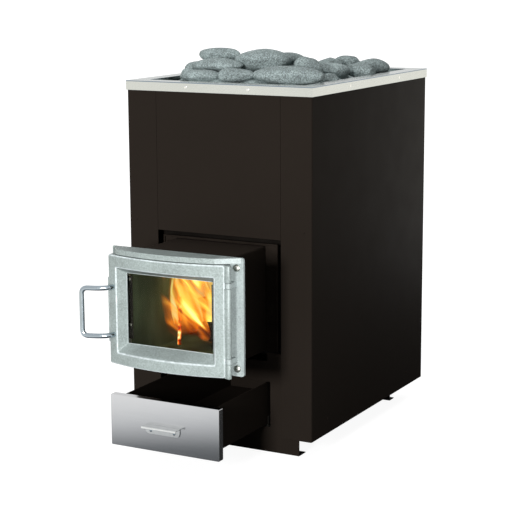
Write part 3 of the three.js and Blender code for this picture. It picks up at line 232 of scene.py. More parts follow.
def piece(name, shell, material, body, slot, replaced=(), sharp=50.0, open_edges=False, crest=None):
    """A mesh object from points and faces, with poles merged, faces turned outwards and smooth shading.

    Where crest is given, each point keeps its value as an attribute for the finish's painted highlight.
    """
    points, faces = shell
    mesh = bpy.data.meshes.new(name)
    mesh.from_pydata(np.asarray(points).tolist(), [], np.asarray(faces).tolist())
    if crest is not None:
        mesh.attributes.new("crest", "FLOAT", "POINT").data.foreach_set("value", crest.astype(np.float32))
    work = bmesh.new()
    work.from_mesh(mesh)
    bmesh.ops.remove_doubles(work, verts=work.verts, dist=1e-6)
    bmesh.ops.dissolve_degenerate(work, edges=work.edges, dist=1e-7)
    if not open_edges:
        bmesh.ops.recalc_face_normals(work, faces=work.faces)
    work.to_mesh(mesh)
    work.free()
    return placed(name, mesh, material, body, slot, replaced, sharp)


def placed(name, mesh, material, body, slot, replaced, sharp):
    """An object for a mesh, shaded smooth up to an angle, riding on its body."""
    mesh.polygons.foreach_set("use_smooth", np.ones(len(mesh.polygons), bool))
    mesh.set_sharp_from_angle(angle=math.radians(sharp))
    mesh.materials.clear()
    for finish in material if isinstance(material, list) else [material]:
        mesh.materials.append(finish)
    thing = bpy.data.objects.new(name, mesh)
    bpy.context.scene.collection.objects.link(thing)
    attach(thing, body)
    if slot in ("cast_door", "bar_steel", "screw"):
        door_group().objects.link(thing)
    if replaced:
        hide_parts(*replaced)
    return thing


def softened(node, material, body, slot, width, segments=2, inner=None):
    """A copy of a node with its doubles merged, its flat faces joined and a Bevel on its edges.

    Where a test of face centres is given as inner, those faces take the second material.
    """
    mesh = NODES[node].data.copy()
    mesh.name = f"{node}_sheet"
    if "custom_normal" in mesh.attributes:
        mesh.attributes.remove(mesh.attributes["custom_normal"])
    work = bmesh.new()
    work.from_mesh(mesh)
    bmesh.ops.remove_doubles(work, verts=work.verts, dist=2e-6)
    bmesh.ops.dissolve_limit(work, angle_limit=math.radians(0.4), verts=work.verts, edges=work.edges)
    work.to_mesh(mesh)
    work.free()
    thing = placed(f"{node}_sheet", mesh, material, body, slot, [node], 180.0)
    if inner is not None:
        centres = np.empty(len(mesh.polygons) * 3)
        mesh.polygons.foreach_get("center", centres)
        mesh.polygons.foreach_set("material_index", inner(centres.reshape(-1, 3)).astype(np.int32))
    bevel = thing.modifiers.new("soft_edges", "BEVEL")
    bevel.width = width
    bevel.segments = segments
    bevel.limit_method = "ANGLE"
    bevel.angle_limit = math.radians(32)
    bevel.harden_normals = True
    return thing


def rounded_ring(x_low, x_high, z_low, z_high, radius, side_steps=40, corner_steps=6):
    """Closed rounded rectangle as x and z, starting at the lower left and running round by the right.

    Every ring has as many points on each side and in each corner, so rings can be joined point by point.
    """
    quarter = np.linspace(0, np.pi / 2, corner_steps)
    centres = [(x_high - radius, z_low + radius), (x_high - radius, z_high - radius),
               (x_low + radius, z_high - radius), (x_low + radius, z_low + radius)]
    starts = [-np.pi / 2, 0, np.pi / 2, np.pi]
    corners = [
        np.stack([x + radius * np.cos(start + quarter), z + radius * np.sin(start + quarter)], axis=-1)
        for (x, z), start in zip(centres, starts)]
    share = np.linspace(0, 1, side_steps + 2)[1:-1, None]
    sides = []
    for k, corner in enumerate(corners):
        before = corners[k - 1][-1]
        sides += [before + (corner[0] - before) * share, corner]
    return np.concatenate(sides)


def tube(path, radius, sides, side_axis):
    """Round bar along a path: circles square to the path, closed by a point at each end.

    Each circle lies in the plane of the path's cross product with side_axis and their common normal.
    """
    tangent = np.gradient(path, axis=0)
    tangent /= np.linalg.norm(tangent, axis=1, keepdims=True)
    across = np.cross(tangent, side_axis)
    across /= np.linalg.norm(across, axis=1, keepdims=True)
    third = np.cross(across, tangent)
    angle = np.linspace(0, 2 * np.pi, sides, endpoint=False)
    circle = np.cos(angle)[None, :, None] * across[:, None] + np.sin(angle)[None, :, None] * third[:, None]
    body = path[:, None] + radius * circle
    ends = [np.repeat(path[i][None], sides, axis=0)[None] for i in (0, -1)]
    return surface(np.concatenate([ends[0], body, ends[1]]), wrap_columns=True)


def revolved(profile, centre, axis, sides=20):
    """Profile of radius and height turned about an axis through a centre; radius 0 closes a pole."""
    axis = np.asarray(axis, float)
    helper = np.array([0.0, 0, 1]) if abs(axis[2]) < 0.9 else np.array([1.0, 0, 0])
    across = np.cross(axis, helper)
    across /= np.linalg.norm(across)
    third = np.cross(axis, across)
    angle = np.linspace(0, 2 * np.pi, sides, endpoint=False)
    circle = np.cos(angle)[:, None] * across + np.sin(angle)[:, None] * third
    profile = np.asarray(profile, float)
    points = profile[:, None, :1] * circle[None] + profile[:, None, 1:] * axis + np.asarray(centre)
    return surface(points, wrap_columns=True)


def slab(low, high, corner, edge, axis):
    """Rounded block: a rounded rectangle carried along one axis, drawn in by a quarter round at its ends."""
    low, high = np.asarray(low, float), np.asarray(high, float)
    first, second = [k for k in range(3) if k != axis]
    turn = np.linspace(0, np.pi / 2, 4)
    inset = np.concatenate([edge * (1 - np.sin(turn)), edge * (1 - np.sin(turn[::-1]))])
    level = np.concatenate([low[axis] + edge * (1 - np.cos(turn)),
                            high[axis] - edge * (1 - np.cos(turn[::-1]))])
    rows = []
    for d, height in zip(inset, level):
        ring = rounded_ring(low[first] + d, high[first] - d, low[second] + d, high[second] - d,
                            max(corner - d, 1e-4), side_steps=2, corner_steps=5)
        row = np.empty((len(ring), 3))
        row[:, first], row[:, second], row[:, axis] = ring[:, 0], ring[:, 1], height
        rows.append(row)
    rows = np.array(rows)
    caps = [np.broadcast_to(rows[k].mean(axis=0), rows[k].shape)[None] for k in (0, -1)]
    return surface(np.concatenate([caps[0], rows, caps[1]]), wrap_columns=True)


# Materials


# Painted highlight on the door frame's hinge end and on the casting's edges, and a painted shade line at the
# rim's fold, in metres
HIGHLIGHT_FADE = 0.001
END_HIGHLIGHT_WIDTH = 0.047
END_HIGHLIGHT_RANGE = (0.08, 0.16)
CREST_HIGHLIGHT_RANGE = (0.25, 0.75)
# Pale tint of the painted highlights
HIGHLIGHT_TINT = (0.62, 0.68, 0.70, 1)
FOLD_SHADE_HALF = 0.0010
FOLD_SHADE_BELOW = 0.0012
# Dark blue tint of the painted shade line at the rim's fold
FOLD_SHADE_TINT = (0.20, 0.27, 0.36, 1.0)


class Finish:
    """A material's node tree with short calls to add and join nodes."""

    def __init__(self, name):
        self.material = bpy.data.materials.new(name)
        self.material.use_nodes = True
        self.tree = self.material.node_tree
        self.shader = self.tree.nodes["Principled BSDF"]
        self.coordinates = self.tree.nodes.new("ShaderNodeTexCoord").outputs["Object"]

    def node(self, kind, links=None, **settings):
        """A new node with its properties set, and its inputs linked or given a value."""
        node = self.tree.nodes.new(kind)
        for key, value in settings.items():
            setattr(node, key, value)
        for key, value in (links or {}).items():
            self.feed(node.inputs[key], value)
        return node

    def feed(self, socket, value):
        """Links an output to a socket, or sets the socket's own value."""
        if isinstance(value, bpy.types.NodeSocket):
            self.tree.links.new(value, socket)
        else:
            socket.default_value = value

    def mapping(self, scale=(1, 1, 1), turn=(0, 0, 0), source=None):
        """Object coordinates stretched and turned."""
        links = {"Vector": source or self.coordinates, "Scale": scale, "Rotation": turn}
        return self.node("ShaderNodeMapping", links).outputs[0]

    def noise(self, scale, detail=2.0, roughness=0.5, vector=None, distortion=0.0):
        """Value of a noise texture."""
        links = {"Vector": vector or self.coordinates, "Scale": scale, "Detail": detail,
                 "Roughness": roughness, "Distortion": distortion}
        return self.node("ShaderNodeTexNoise", links).outputs["Fac"]

    def ramp(self, value, *stops):
        """Colour over a value, from stops of position and colour."""
        node = self.node("ShaderNodeValToRGB", {"Fac": value})
        elements = node.color_ramp.elements
        while len(elements) < len(stops):
            elements.new(0.5)
        for element, (position, colour) in zip(elements, stops):
            element.position = position
            element.color = (*colour, 1) if len(colour) == 3 else colour
        return node.outputs["Color"]

    def spread(self, value, low, high, start=0.3, end=0.7):
        """A value between two limits carried to a new range."""
        links = {"Value": value, "From Min": start, "From Max": end, "To Min": low, "To Max": high}
        return self.node("ShaderNodeMapRange", links).outputs["Result"]

    def math(self, operation, first, second=0.0, clamp=False):
        """One arithmetic step."""
        node = self.node("ShaderNodeMath", operation=operation, use_clamp=clamp)
        self.feed(node.inputs[0], first)
        self.feed(node.inputs[1], second)
        return node.outputs[0]

    def bump(self, height, strength, distance, under=None):
        """Normal from a height value."""
        links = {"Height": height, "Strength": strength, "Distance": distance}
        if under:
            links["Normal"] = under
        return self.node("ShaderNodeBump", links).outputs["Normal"]

    def shade(self, **inputs):
        """Feeds the shader's sockets, underscores standing for spaces."""
        for key, value in inputs.items():
            self.feed(self.shader.inputs[key.replace("_", " ")], value)
        return self.material


def tints(colour, *factors):
    """A colour made darker or lighter by each factor."""
    return [tuple(min(channel * factor, 1.0) for channel in colour) for factor in factors]


def casing_paint(name, colour):
    """Satin stove paint: fine orange peel, faint clouding and an uneven gloss."""
    finish = Finish(name)
    cloud = finish.noise(4.0, 4.0, 0.6)
    dark, light = tints(colour, 0.96, 1.04)
    peel = finish.noise(700.0, 2.0)
    return finish.shade(
        Base_Color=finish.ramp(cloud, (0.3, dark), (0.7, light)),
        Roughness=finish.spread(finish.noise(18.0, 3.0), 0.46, 0.50),
        Normal=finish.bump(peel, 0.10, 0.0002), Specular_IOR_Level=0.03)


def matt_paint(name, colour):
    """Dull stove paint of the parts nearest the fire, dusted with ash."""
    finish = Finish(name)
    dust = finish.noise(40.0, 4.0, 0.6)
    dark, light = tints(colour, 0.75, 1.05)
    return finish.shade(
        Base_Color=finish.ramp(dust, (0.35, dark), (0.65, light)), Roughness=0.9,
        Normal=finish.bump(dust, 0.1, 0.0004), Specular_IOR_Level=0.0)


def bright_sheet(name, colour, grain, low=0.22, high=0.32, fold=None):
    """Stainless sheet with fine lines drawn out along one axis, soft clouding and, where the height of a
    fold is given, a painted shade line of dark blue along it."""
    finish = Finish(name)
    scale = tuple(9.0 if k == grain else 1600.0 for k in range(3))
    lines = finish.noise(1.0, 3.0, 0.7, finish.mapping(scale))
    cloud = finish.noise(9.0, 3.0)
    dark, light = tints(colour, 0.93, 1.05)
    mixed = finish.math("ADD", finish.math("MULTIPLY", lines, 0.6), finish.math("MULTIPLY", cloud, 0.4))
    base = finish.ramp(mixed, (0.3, dark), (0.7, light))
    # Painted shade: a thin dark blue line at the fold's height.
    if fold is not None:
        height = finish.node("ShaderNodeSeparateXYZ", {"Vector": finish.coordinates}).outputs[2]
        away = finish.math("ABSOLUTE", finish.math("SUBTRACT", height, fold))
        line = finish.spread(away, 1.0, 0.0, 0.5 * FOLD_SHADE_HALF, FOLD_SHADE_HALF)
        base = finish.node("ShaderNodeMix", {0: line, 6: base, 7: FOLD_SHADE_TINT}, data_type="RGBA").outputs[2]
    return finish.shade(
        Base_Color=base, Metallic=1.0,
        Roughness=finish.spread(lines, low, high), Normal=finish.bump(lines, 0.04, 0.00005))


def cast_silver(name, colour, highlight_edge=None):
    """Silver paint over a sand casting: bright grains, a fine pitted skin and a painted highlight on edges.

    With a highlight edge given, the painted highlight lies beyond that x, and otherwise on the crest.
    """
    finish = Finish(name)
    grain = finish.noise(620.0, 3.0, 0.75)
    skin = finish.noise(300.0, 3.0, 0.6)
    cloud = finish.noise(22.0, 3.0)
    dark, middle, light = tints(colour, 0.66, 1.0, 1.32)
    mixed = finish.math("ADD", finish.math("MULTIPLY", grain, 0.42), finish.math("MULTIPLY", skin, 0.40))
    mixed = finish.math("ADD", mixed, finish.math("MULTIPLY", cloud, 0.18))
    body = finish.ramp(mixed, (0.38, dark), (0.5, middle), (0.62, light))
    if highlight_edge is None:
        crest = finish.node("ShaderNodeAttribute", attribute_name="crest").outputs["Fac"]
        highlight_range = CREST_HIGHLIGHT_RANGE
    else:
        highlight_range = END_HIGHLIGHT_RANGE
        across = finish.node("ShaderNodeSeparateXYZ", {"Vector": finish.coordinates}).outputs[0]
        crest = finish.spread(across, 0.0, 1.0, highlight_edge - HIGHLIGHT_FADE, highlight_edge)
    # Painted highlight: crest rows, or the frame's end, brightened towards a pale tint.
    worn = finish.math("MULTIPLY", crest, finish.spread(finish.noise(130.0, 2.0), *highlight_range))
    highlighted = finish.node("ShaderNodeMix", {0: worn, 6: body, 7: HIGHLIGHT_TINT}, data_type="RGBA")
    rough = finish.math("SUBTRACT", finish.spread(skin, 0.40, 0.54), finish.math("MULTIPLY", worn, 0.15))
    fine = finish.bump(grain, 0.30, 0.0004)
    return finish.shade(
        Base_Color=highlighted.outputs[2], Metallic=0.14, Roughness=rough,
        Normal=finish.bump(skin, 0.26, 0.0006, fine))


def polished_bar(name, colour, low=0.10, high=0.22):
    """Polished steel with faint drawn lines and clouding."""
    finish = Finish(name)
    cloud = finish.noise(60.0, 3.0)
    dark, light = tints(colour, 0.94, 1.04)
    return finish.shade(
        Base_Color=finish.ramp(cloud, (0.3, dark), (0.7, light)), Metallic=1.0,
        Roughness=finish.spread(finish.noise(180.0, 2.0), low, high))


def sooted_steel(name, colour, rough=0.7):
    """Black steel greyed by soot and ash in drifts."""
    finish = Finish(name)
    drift = finish.noise(14.0, 5.0, 0.65)
    speck = finish.noise(260.0, 2.0)
    dark, light = tints(colour, 0.7, 1.5)
    return finish.shade(
        Base_Color=finish.ramp(drift, (0.35, dark), (0.7, light)),
        Roughness=finish.spread(drift, rough - 0.12, rough + 0.1),
        Normal=finish.bump(speck, 0.2, 0.0004), Specular_IOR_Level=0.25)


def heated_wall(colour):
    """Inner wall of the throat: greyish olive scale with darker runs down it."""
    finish = Finish("heated_wall")
    runs = finish.noise(1.0, 4.0, 0.6, finish.mapping((30.0, 30.0, 3.0)))
    patch = finish.noise(11.0, 4.0, 0.6)
    mixed = finish.math("ADD", finish.math("MULTIPLY", runs, 0.5), finish.math("MULTIPLY", patch, 0.5))
    dark, middle, light = tints(colour, 0.55, 1.0, 1.5)
    return finish.shade(
        Base_Color=finish.ramp(mixed, (0.36, dark), (0.5, middle), (0.64, light)),
        Roughness=0.85, Normal=finish.bump(patch, 0.3, 0.001), Specular_IOR_Level=0.2)


def window_glass():
    """Heat-proof glass, very slightly amber."""
    finish = Finish("window_glass")
    smear = finish.noise(35.0, 3.0, 0.6)
    return finish.shade(
        Base_Color=(0.93, 0.92, 0.86, 1), Transmission_Weight=1.0, IOR=1.12,
        Roughness=finish.spread(smear, 0.0, 0.03))


def seal_rope():
    """Woven glass rope, ribbed along its strands."""
    finish = Finish("seal_rope")
    ribs = finish.noise(1.0, 2.0, 0.5, finish.mapping((700.0, 300.0, 700.0)))
    return finish.shade(
        Base_Color=finish.ramp(ribs, (0.3, (0.05, 0.05, 0.045)), (0.7, (0.14, 0.14, 0.12))),
        Roughness=0.95, Normal=finish.bump(ribs, 0.6, 0.0008))


def stone_skin(colour):
    """Grey-green rounded stone: pale and dark crystals over slow clouds, with a pitted skin."""
    finish = Finish("stone_skin")
    cloud = finish.noise(26.0, 4.0, 0.6)
    crystal = finish.node("ShaderNodeTexVoronoi", {"Vector": finish.coordinates, "Scale": 560.0})
    split = finish.node("ShaderNodeSeparateColor", {"Color": crystal.outputs["Color"]}).outputs[0]
    grain = finish.noise(900.0, 2.0, 0.7)
    mixed = finish.math("ADD", finish.math("MULTIPLY", split, 0.38), finish.math("MULTIPLY", grain, 0.30))
    mixed = finish.math("ADD", mixed, finish.math("MULTIPLY", cloud, 0.32))
    darkest, dark, middle, light = tints(colour, 0.30, 0.62, 1.0, 1.75)
    fine = finish.bump(grain, 0.25, 0.0004)
    return finish.shade(
        Base_Color=finish.ramp(mixed, (0.26, darkest), (0.38, dark), (0.54, middle), (0.74, light)),
        Roughness=finish.spread(split, 0.72, 0.92), Normal=finish.bump(cloud, 0.30, 0.003, fine),
        Specular_IOR_Level=0.3)


def bark():
    """Charred wood: long furrows with grey ash on their ridges."""
    finish = Finish("charred_wood")
    furrow = finish.noise(1.0, 4.0, 0.7, finish.mapping((90.0, 14.0, 90.0)))
    glow = finish.noise(16.0, 4.0, 0.6)
    return finish.shade(
        Base_Color=finish.ramp(furrow, (0.3, (0.008, 0.006, 0.005)), (0.7, (0.075, 0.06, 0.05))),
        Roughness=0.9, Normal=finish.bump(furrow, 0.8, 0.004),
        Emission_Color=finish.ramp(glow, (0.55, (0, 0, 0)), (0.72, (0.7, 0.07, 0.005))),
        Emission_Strength=0.9)


def ember():
    """Thin wood burnt through: dark stretches between glowing knots."""
    finish = Finish("glowing_ember")
    knots = finish.noise(75.0, 2.0, 0.5)
    colour = finish.ramp(knots, (0.45, (0.09, 0.005, 0.0)), (0.53, (0.80, 0.07, 0.005)),
                         (0.61, (1.0, 0.42, 0.05)), (0.69, (1.0, 0.85, 0.40)))
    return finish.shade(Base_Color=(0.02, 0.012, 0.01, 1), Roughness=0.9, Emission_Color=colour,
                        Emission_Strength=1.3)


def flame(name, shift, strength, core, tilt):
    """Flame on a sheet: tongues of noise drawn out along a slope, from pale yellow at a core to red, and
    clear away from it and along the sheet's border."""
    finish = Finish(name)
    tree = finish.tree
    uv = tree.nodes.new("ShaderNodeUVMap").outputs[0]
    parts = finish.node("ShaderNodeSeparateXYZ", {"Vector": uv})
    across, up = parts.outputs[0], parts.outputs[1]
    stretched = finish.node("ShaderNodeMapping", {
        "Vector": finish.mapping(turn=(0.0, 0.0, tilt), source=uv), "Scale": (1.5, 4.2, 1.0),
        "Location": (shift, 1.7 * shift, 0.6 * shift)}).outputs[0]
    tongue = finish.noise(1.15, 1.8, 0.45, stretched, 0.7)
    aside = finish.math("POWER", finish.math("ABSOLUTE", finish.math("SUBTRACT", across, core[0])), 2.0)
    above = finish.math("POWER", finish.math("ABSOLUTE", finish.math("SUBTRACT", up, core[1])), 2.0)
    heat = finish.math("MULTIPLY", tongue, 3.0)
    heat = finish.math("SUBTRACT", heat, finish.math("MULTIPLY", aside, 1.4))
    heat = finish.math("SUBTRACT", heat, finish.math("MULTIPLY", above, 2.9))
    heat = finish.math("SUBTRACT", heat, 0.74, clamp=True)
    colour = finish.ramp(
        heat, (0.0, (0.22, 0.03, 0.0)), (0.26, (0.60, 0.08, 0.004)), (0.5, (0.95, 0.25, 0.015)),
        (0.72, (1.0, 0.60, 0.08)), (0.92, (1.0, 0.84, 0.28)))
    clear = finish.math("MULTIPLY", finish.math("POWER", heat, 1.5), 1.4, clamp=True)
    for rising, steep in ((across, 5.0), (finish.math("SUBTRACT", 1.0, across), 5.0), (up, 9.0),
                          (finish.math("SUBTRACT", 1.0, up), 6.0)):
        clear = finish.math("MULTIPLY", clear, finish.math("MULTIPLY", rising, steep, clamp=True))
    light = finish.node("ShaderNodeEmission", {"Color": colour, "Strength": strength})
    through = finish.node("ShaderNodeBsdfTransparent")
    mix = finish.node("ShaderNodeMixShader", {"Fac": clear, 1: through.outputs[0], 2: light.outputs[0]})
    tree.nodes.remove(finish.shader)
    tree.links.new(mix.outputs[0], tree.nodes["Material Output"].inputs["Surface"])
    return finish.material


def finishes():
    """The colours set in the sidebar."""
    return bpy.context.scene.stove_finishes


def sizes():
    """The sizes set in the sidebar."""
    return bpy.context.scene.stove_sizes


def shared(make, name, *values):
    """A material made once and used by several pieces."""
    return bpy.data.materials.get(name) or make(name, *values)


def paint():
    """Paint of the casing, the throat and the drawer."""
    return shared(casing_paint, "casing_paint", tuple(finishes().paint))


def dull_paint():
    """Paint of the collar round the throat."""
    return shared(matt_paint, "matt_paint", tuple(finishes().paint))


def silver():
    """Finish of the cast door."""
    return shared(cast_silver, "cast_silver", tuple(finishes().casting))


def end_highlight_silver():
    """Finish of the door frame, with a painted highlight over its hinge end."""
    # Painted highlight: the frame's strip beyond this x is brightened towards a pale tint.
    edge = span("door_frame")[1][0] - END_HIGHLIGHT_WIDTH
    return shared(cast_silver, "frame_silver", tuple(finishes().casting), edge)


def bar_steel():
    """Steel of the handle, the hinge pins and the pull's rivets."""
    return shared(polished_bar, "polished_bar", tuple(finishes().bar))


def screw_steel():
    """Bright steel of the rim's rivets and the clip screws."""
    return shared(polished_bar, "screw_steel", (0.90, 0.91, 0.89), 0.2, 0.35)


def frame_steel():
    """Duller steel of the frame's screws."""
    return shared(polished_bar, "frame_steel", (0.56, 0.58, 0.53), 0.32, 0.40)


def pull_steel():
    """Steel of the drawer's pull."""
    return shared(polished_bar, "pull_steel", (0.84, 0.86, 0.86), 0.22, 0.25)


def soot():
    """Sooted steel of the boxes and strips."""
    return shared(sooted_steel, "sooted_steel", (0.017, 0.016, 0.014))


# Operators


class STOVE_OT_casing(bpy.types.Operator):
    """Paints the casing, softens the edges of its folded sheets and sets its small screws"""

    bl_idname = "stove.casing"
    bl_label = "Casing"

    def execute(self, context):
        width = sizes().edge_softness
        for node in ("left_side_panel", "right_side_panel", "upper_front_plate", "lower_front_plate",
                     "back_panel", "rear_foot_plate"):
            softened(node, paint(), ROOT, "paint", width)
        softened("throat_collar", dull_paint(), ROOT, "paint", width)
        softened("flue_spigot", soot(), ROOT, "black_steel", width)
        heads = []
        for side in (-1, 1):
            x = side * CASING_HALF
            for y in (CASING_FACE + FRONT_SCREW_INSET, CASING_BACK - REAR_SCREW_INSET):
                heads.append(screw_head((x, y, LOW_SCREW_HEIGHT), (side, 0, 0)))
            place = (x - side * HIGH_SCREW_INSET, CASING_FACE, HIGH_SCREW_HEIGHT)
            heads.append(screw_head(place, (0, -1, 0)))
        piece("casing_screws", together(*heads), paint(), ROOT, "paint")
        return {"FINISHED"}


def screw_head(place, axis, radius=0.0026, height=0.0011):
    """Small domed head: a shallow spherical cap on a short rim, sunk a little into its sheet."""
    angle = np.linspace(np.pi / 2, 0, 5)
    dome = np.stack([radius * np.sin(angle), height * (0.35 + 0.65 * np.cos(angle))], axis=-1)
    profile = np.concatenate([[[0, -HEAD_SINK], [radius, -HEAD_SINK]], dome])
    return revolved(profile, place, axis, sides=18)


class STOVE_OT_rim(bpy.types.Operator):
    """Gives the rim its bright sheet and rivets"""

    bl_idname = "stove.rim"
    bl_label = "Rim"

    def execute(self, context):
        colour = tuple(finishes().bright)
        # Height of the painted shade line, just under the rim's top.
        fold = RIM_HIGH[2] - FOLD_SHADE_BELOW
        along_x = bright_sheet("rim_sheet_across", colour, 0, fold=fold)
        along_y = bright_sheet("rim_sheet_along", colour, 1, fold=fold)
        for node, finish in (("rim_front", along_x), ("rim_rear", along_x), ("rim_left", along_y),
                             ("rim_right", along_y)):
            softened(node, finish, ROOT, "bright_sheet", sizes().edge_softness)
        level = (RIM_LOW[2] + RIM_HIGH[2]) / 2
        depth = RIM_BACK - RIM_FACE
        rivets = []
        radius = sizes().rivet_radius
        for share in RIM_FRONT_SHARES:
            rivets.append(screw_head((share * RIM_SIDE, RIM_FACE, level), (0, -1, 0), radius))
            rivets.append(screw_head((share * RIM_SIDE, RIM_BACK, level), (0, 1, 0), radius))
        for share in RIM_SIDE_SHARES:
            for side in (-1, 1):
                place = (side * RIM_SIDE, RIM_FACE + share * depth, level)
                rivets.append(screw_head(place, (side, 0, 0), radius, FLUSH_HEAD))
        piece("rim_rivets", together(*rivets), screw_steel(), ROOT, "screw")
        return {"FINISHED"}


def bow(x):
    """Depth of the door's front at x: a circular arc over the door's width."""
    rise = sizes().door_bow
    half = HINGE[0] - sizes().barrel_radius
    radius = (half ** 2 + rise ** 2) / (2 * rise)
    return DOOR_LOW[1] + radius - np.sqrt(radius ** 2 - np.asarray(x) ** 2)


def flat_row(ring, y):
    """Ring of x and z at one depth."""
    return np.stack([ring[:, 0], np.full(len(ring), y), ring[:, 1]], axis=-1)


def bowed_row(ring, back=0.0):
    """Ring of x and z laid on the bowed front, or a little behind it."""
    return np.stack([ring[:, 0], bow(ring[:, 0]) + back, ring[:, 1]], axis=-1)


def rounded_rows(start, corner, end, count=4):
    """Rows that round a corner: a quadratic curve from start to end drawn towards the corner."""
    t = np.linspace(0, 1, count + 2)[1:-1, None, None]
    return list((1 - t) ** 2 * start + 2 * t * (1 - t) * corner + t ** 2 * end)


def door_body():
    """Door as a tube round its window: rings of a rounded rectangle run from the glass pocket over the
    ruled bevel and the bowed border to the outer edge, then back past the seal groove to the pocket.

    The second array gives the points on crest edges and the window's edge their painted highlight.
    """
    size = sizes()
    left, right = -(HINGE[0] - size.barrel_radius), HINGE[0] - size.barrel_radius - BAR_GAP
    bottom, top = DOOR_LOW[2], DOOR_HIGH[2]
    back = DOOR_HIGH[1]
    seat = GLASS_LOW[1] - GLASS_TO_SEAT
    face = seat - WINDOW_LIP
    overlap = size.glass_overlap
    window = (GLASS_LOW[0] + overlap, GLASS_HIGH[0] - overlap,
              GLASS_LOW[2] + overlap, GLASS_HIGH[2] - overlap)
    outer = (left + size.border_side, -(left + size.border_side),
             bottom + size.border_ends, top - size.border_ends)

    def inset(d, radius):
        return rounded_ring(left + d, right - d, bottom + d, top - d, radius)

    def grown(rectangle, d, radius):
        x_low, x_high, z_low, z_high = rectangle
        return rounded_ring(x_low - d, x_high + d, z_low - d, z_high + d, radius)

    pocket = grown((GLASS_LOW[0], GLASS_HIGH[0], GLASS_LOW[2], GLASS_HIGH[2]), 0.0003, 0.002)
    edge = flat_row(grown(window, 0, 0.0012), face)
    crest = bowed_row(grown(outer, 0, 0.0030))
    step = grown(window, -0.0008, 0.0010)
    border_start = bowed_row(grown(outer, 0.0022, 0.0045))
    border_end = bowed_row(inset(0.0035, 0.0030))
    side_start = bowed_row(inset(0, 0.0050), 0.0035)
    side_corner = bowed_row(inset(0, 0.0040))
    side_end = flat_row(inset(0, 0.0050), back - 0.0012)
    groove = [inset(SEAL_LOW[0] - left - 0.0003, 0.014), inset(SEAL_LOW[0] - left + 0.0083, 0.006)]
    groove_floor = SEAL_LOW[1] - 0.0003
    bevel_end = edge + 0.88 * (crest - edge)
    rows = [flat_row(pocket, back), flat_row(pocket, seat), flat_row(step, seat), flat_row(step, face)]
    rows += [edge]
    rows += [edge + share * (crest - edge) for share in (0.04, 0.3, 0.6)]
    rows += [bevel_end] + rounded_rows(bevel_end, crest, border_start) + [border_start]
    rows += [(border_start + border_end) / 2, border_end]
    rows += rounded_rows(border_end, side_corner, side_start) + [side_start, side_end]
    rows += [flat_row(inset(0.0012, 0.0045), back)]
    rows += [flat_row(groove[0], back), flat_row(groove[0], groove_floor)]
    rows += [flat_row(groove[1], groove_floor), flat_row(groove[1], back)]
    # Painted highlight strength for each row: the window's edge and the rounded crests.
    highlight_marks = [0, 0, 0, 0, 0.7] + [0] * 3 + [0, 0.5, 1, 1, 0.5, 0] + [0, 0] + [0.5, 1, 1, 0.5, 0, 0] + [0] * 5
    return surface(np.array(rows), wrap_rows=True, wrap_columns=True), np.repeat(highlight_marks, len(edge))


def hinge_bar(z_low, z_high):
    """Length of the hinge bar: a circle about the hinge axis with a web back to the door, rounded at
    its ends."""
    radius = sizes().barrel_radius
    web = 0.0028
    turn = math.asin(web / radius)
    angle = np.linspace(-np.pi + turn, np.pi - turn, 28)
    rounds = radius * np.stack([np.cos(angle), np.sin(angle)], axis=-1)
    reach = -radius - 0.0022
    section = np.concatenate([rounds, [[reach, web], [reach, -web]]])
    edge = 0.0008
    shrink = np.array([0.0, 0.82, 0.95, 1.0, 1.0, 0.95, 0.82, 0.0])
    level = np.array([z_low, z_low, z_low + 0.3 * edge, z_low + edge,
                      z_high - edge, z_high - 0.3 * edge, z_high, z_high])
    points = np.empty((len(shrink), len(section), 3))
    points[..., 0] = HINGE[0] + section[None, :, 0] * shrink[:, None]
    points[..., 1] = HINGE[1] + section[None, :, 1] * shrink[:, None]
    points[..., 2] = level[:, None]
    return surface(points, wrap_columns=True)


class STOVE_OT_door(bpy.types.Operator):
    """Makes the bowed cast door with its hinge bar, window glass, clips and seal"""

    bl_idname = "stove.door"
    bl_label = "Door"

    def execute(self, context):
        bottom, top = DOOR_LOW[2], DOOR_HIGH[2]
        cuts = [bottom]
        for base in LUGS:
            cuts += [base - LUG_HEIGHT - LUG_GAP, base + LUG_GAP]
        cuts.append(top)
        bars = [hinge_bar(cuts[k], cuts[k + 1]) for k in (0, 2, 4)]
        left = -(HINGE[0] - sizes().barrel_radius)
        middle = (HANDLE_LOW[2] + HANDLE_HIGH[2]) / 2
        plate = slab((DOOR_LOW[0], bow(left) + 0.001, middle - HANDLE_PLATE_HALF),
                     (left + 0.001, DOOR_HIGH[1] - 0.001, middle + HANDLE_PLATE_HALF), 0.0018, 0.0007, 0)
        body, highlight_marks = door_body()
        shell = together(body, plate, *bars)
        crest = np.zeros(len(shell[0]))
        crest[:len(highlight_marks)] = highlight_marks
        piece("door_casting_skin", shell, silver(), DOOR, "cast_door", ["door_casting"], sharp=40.0,
              crest=crest)
        NODES["door_glass"].data.materials[0] = window_glass()
        rope = seal_rope()
        for node in ("glass_gasket", "door_seal"):
            NODES[node].data.materials[0] = rope
        screws = []
        for side in ("left", "right"):
            low, high = span(f"glass_strip_{side}")
            softened(f"glass_strip_{side}", soot(), DOOR, "black_steel", 0.0003)
            for share in CLIP_SHARES:
                place = ((low[0] + high[0]) / 2, low[1], high[2] - share * (high[2] - low[2]))
                screws.append(screw_head(place, (0, -1, 0), 0.0034, 0.00025))
        piece("clip_screws", together(*screws), screw_steel(), DOOR, "screw")
        return {"FINISHED"}


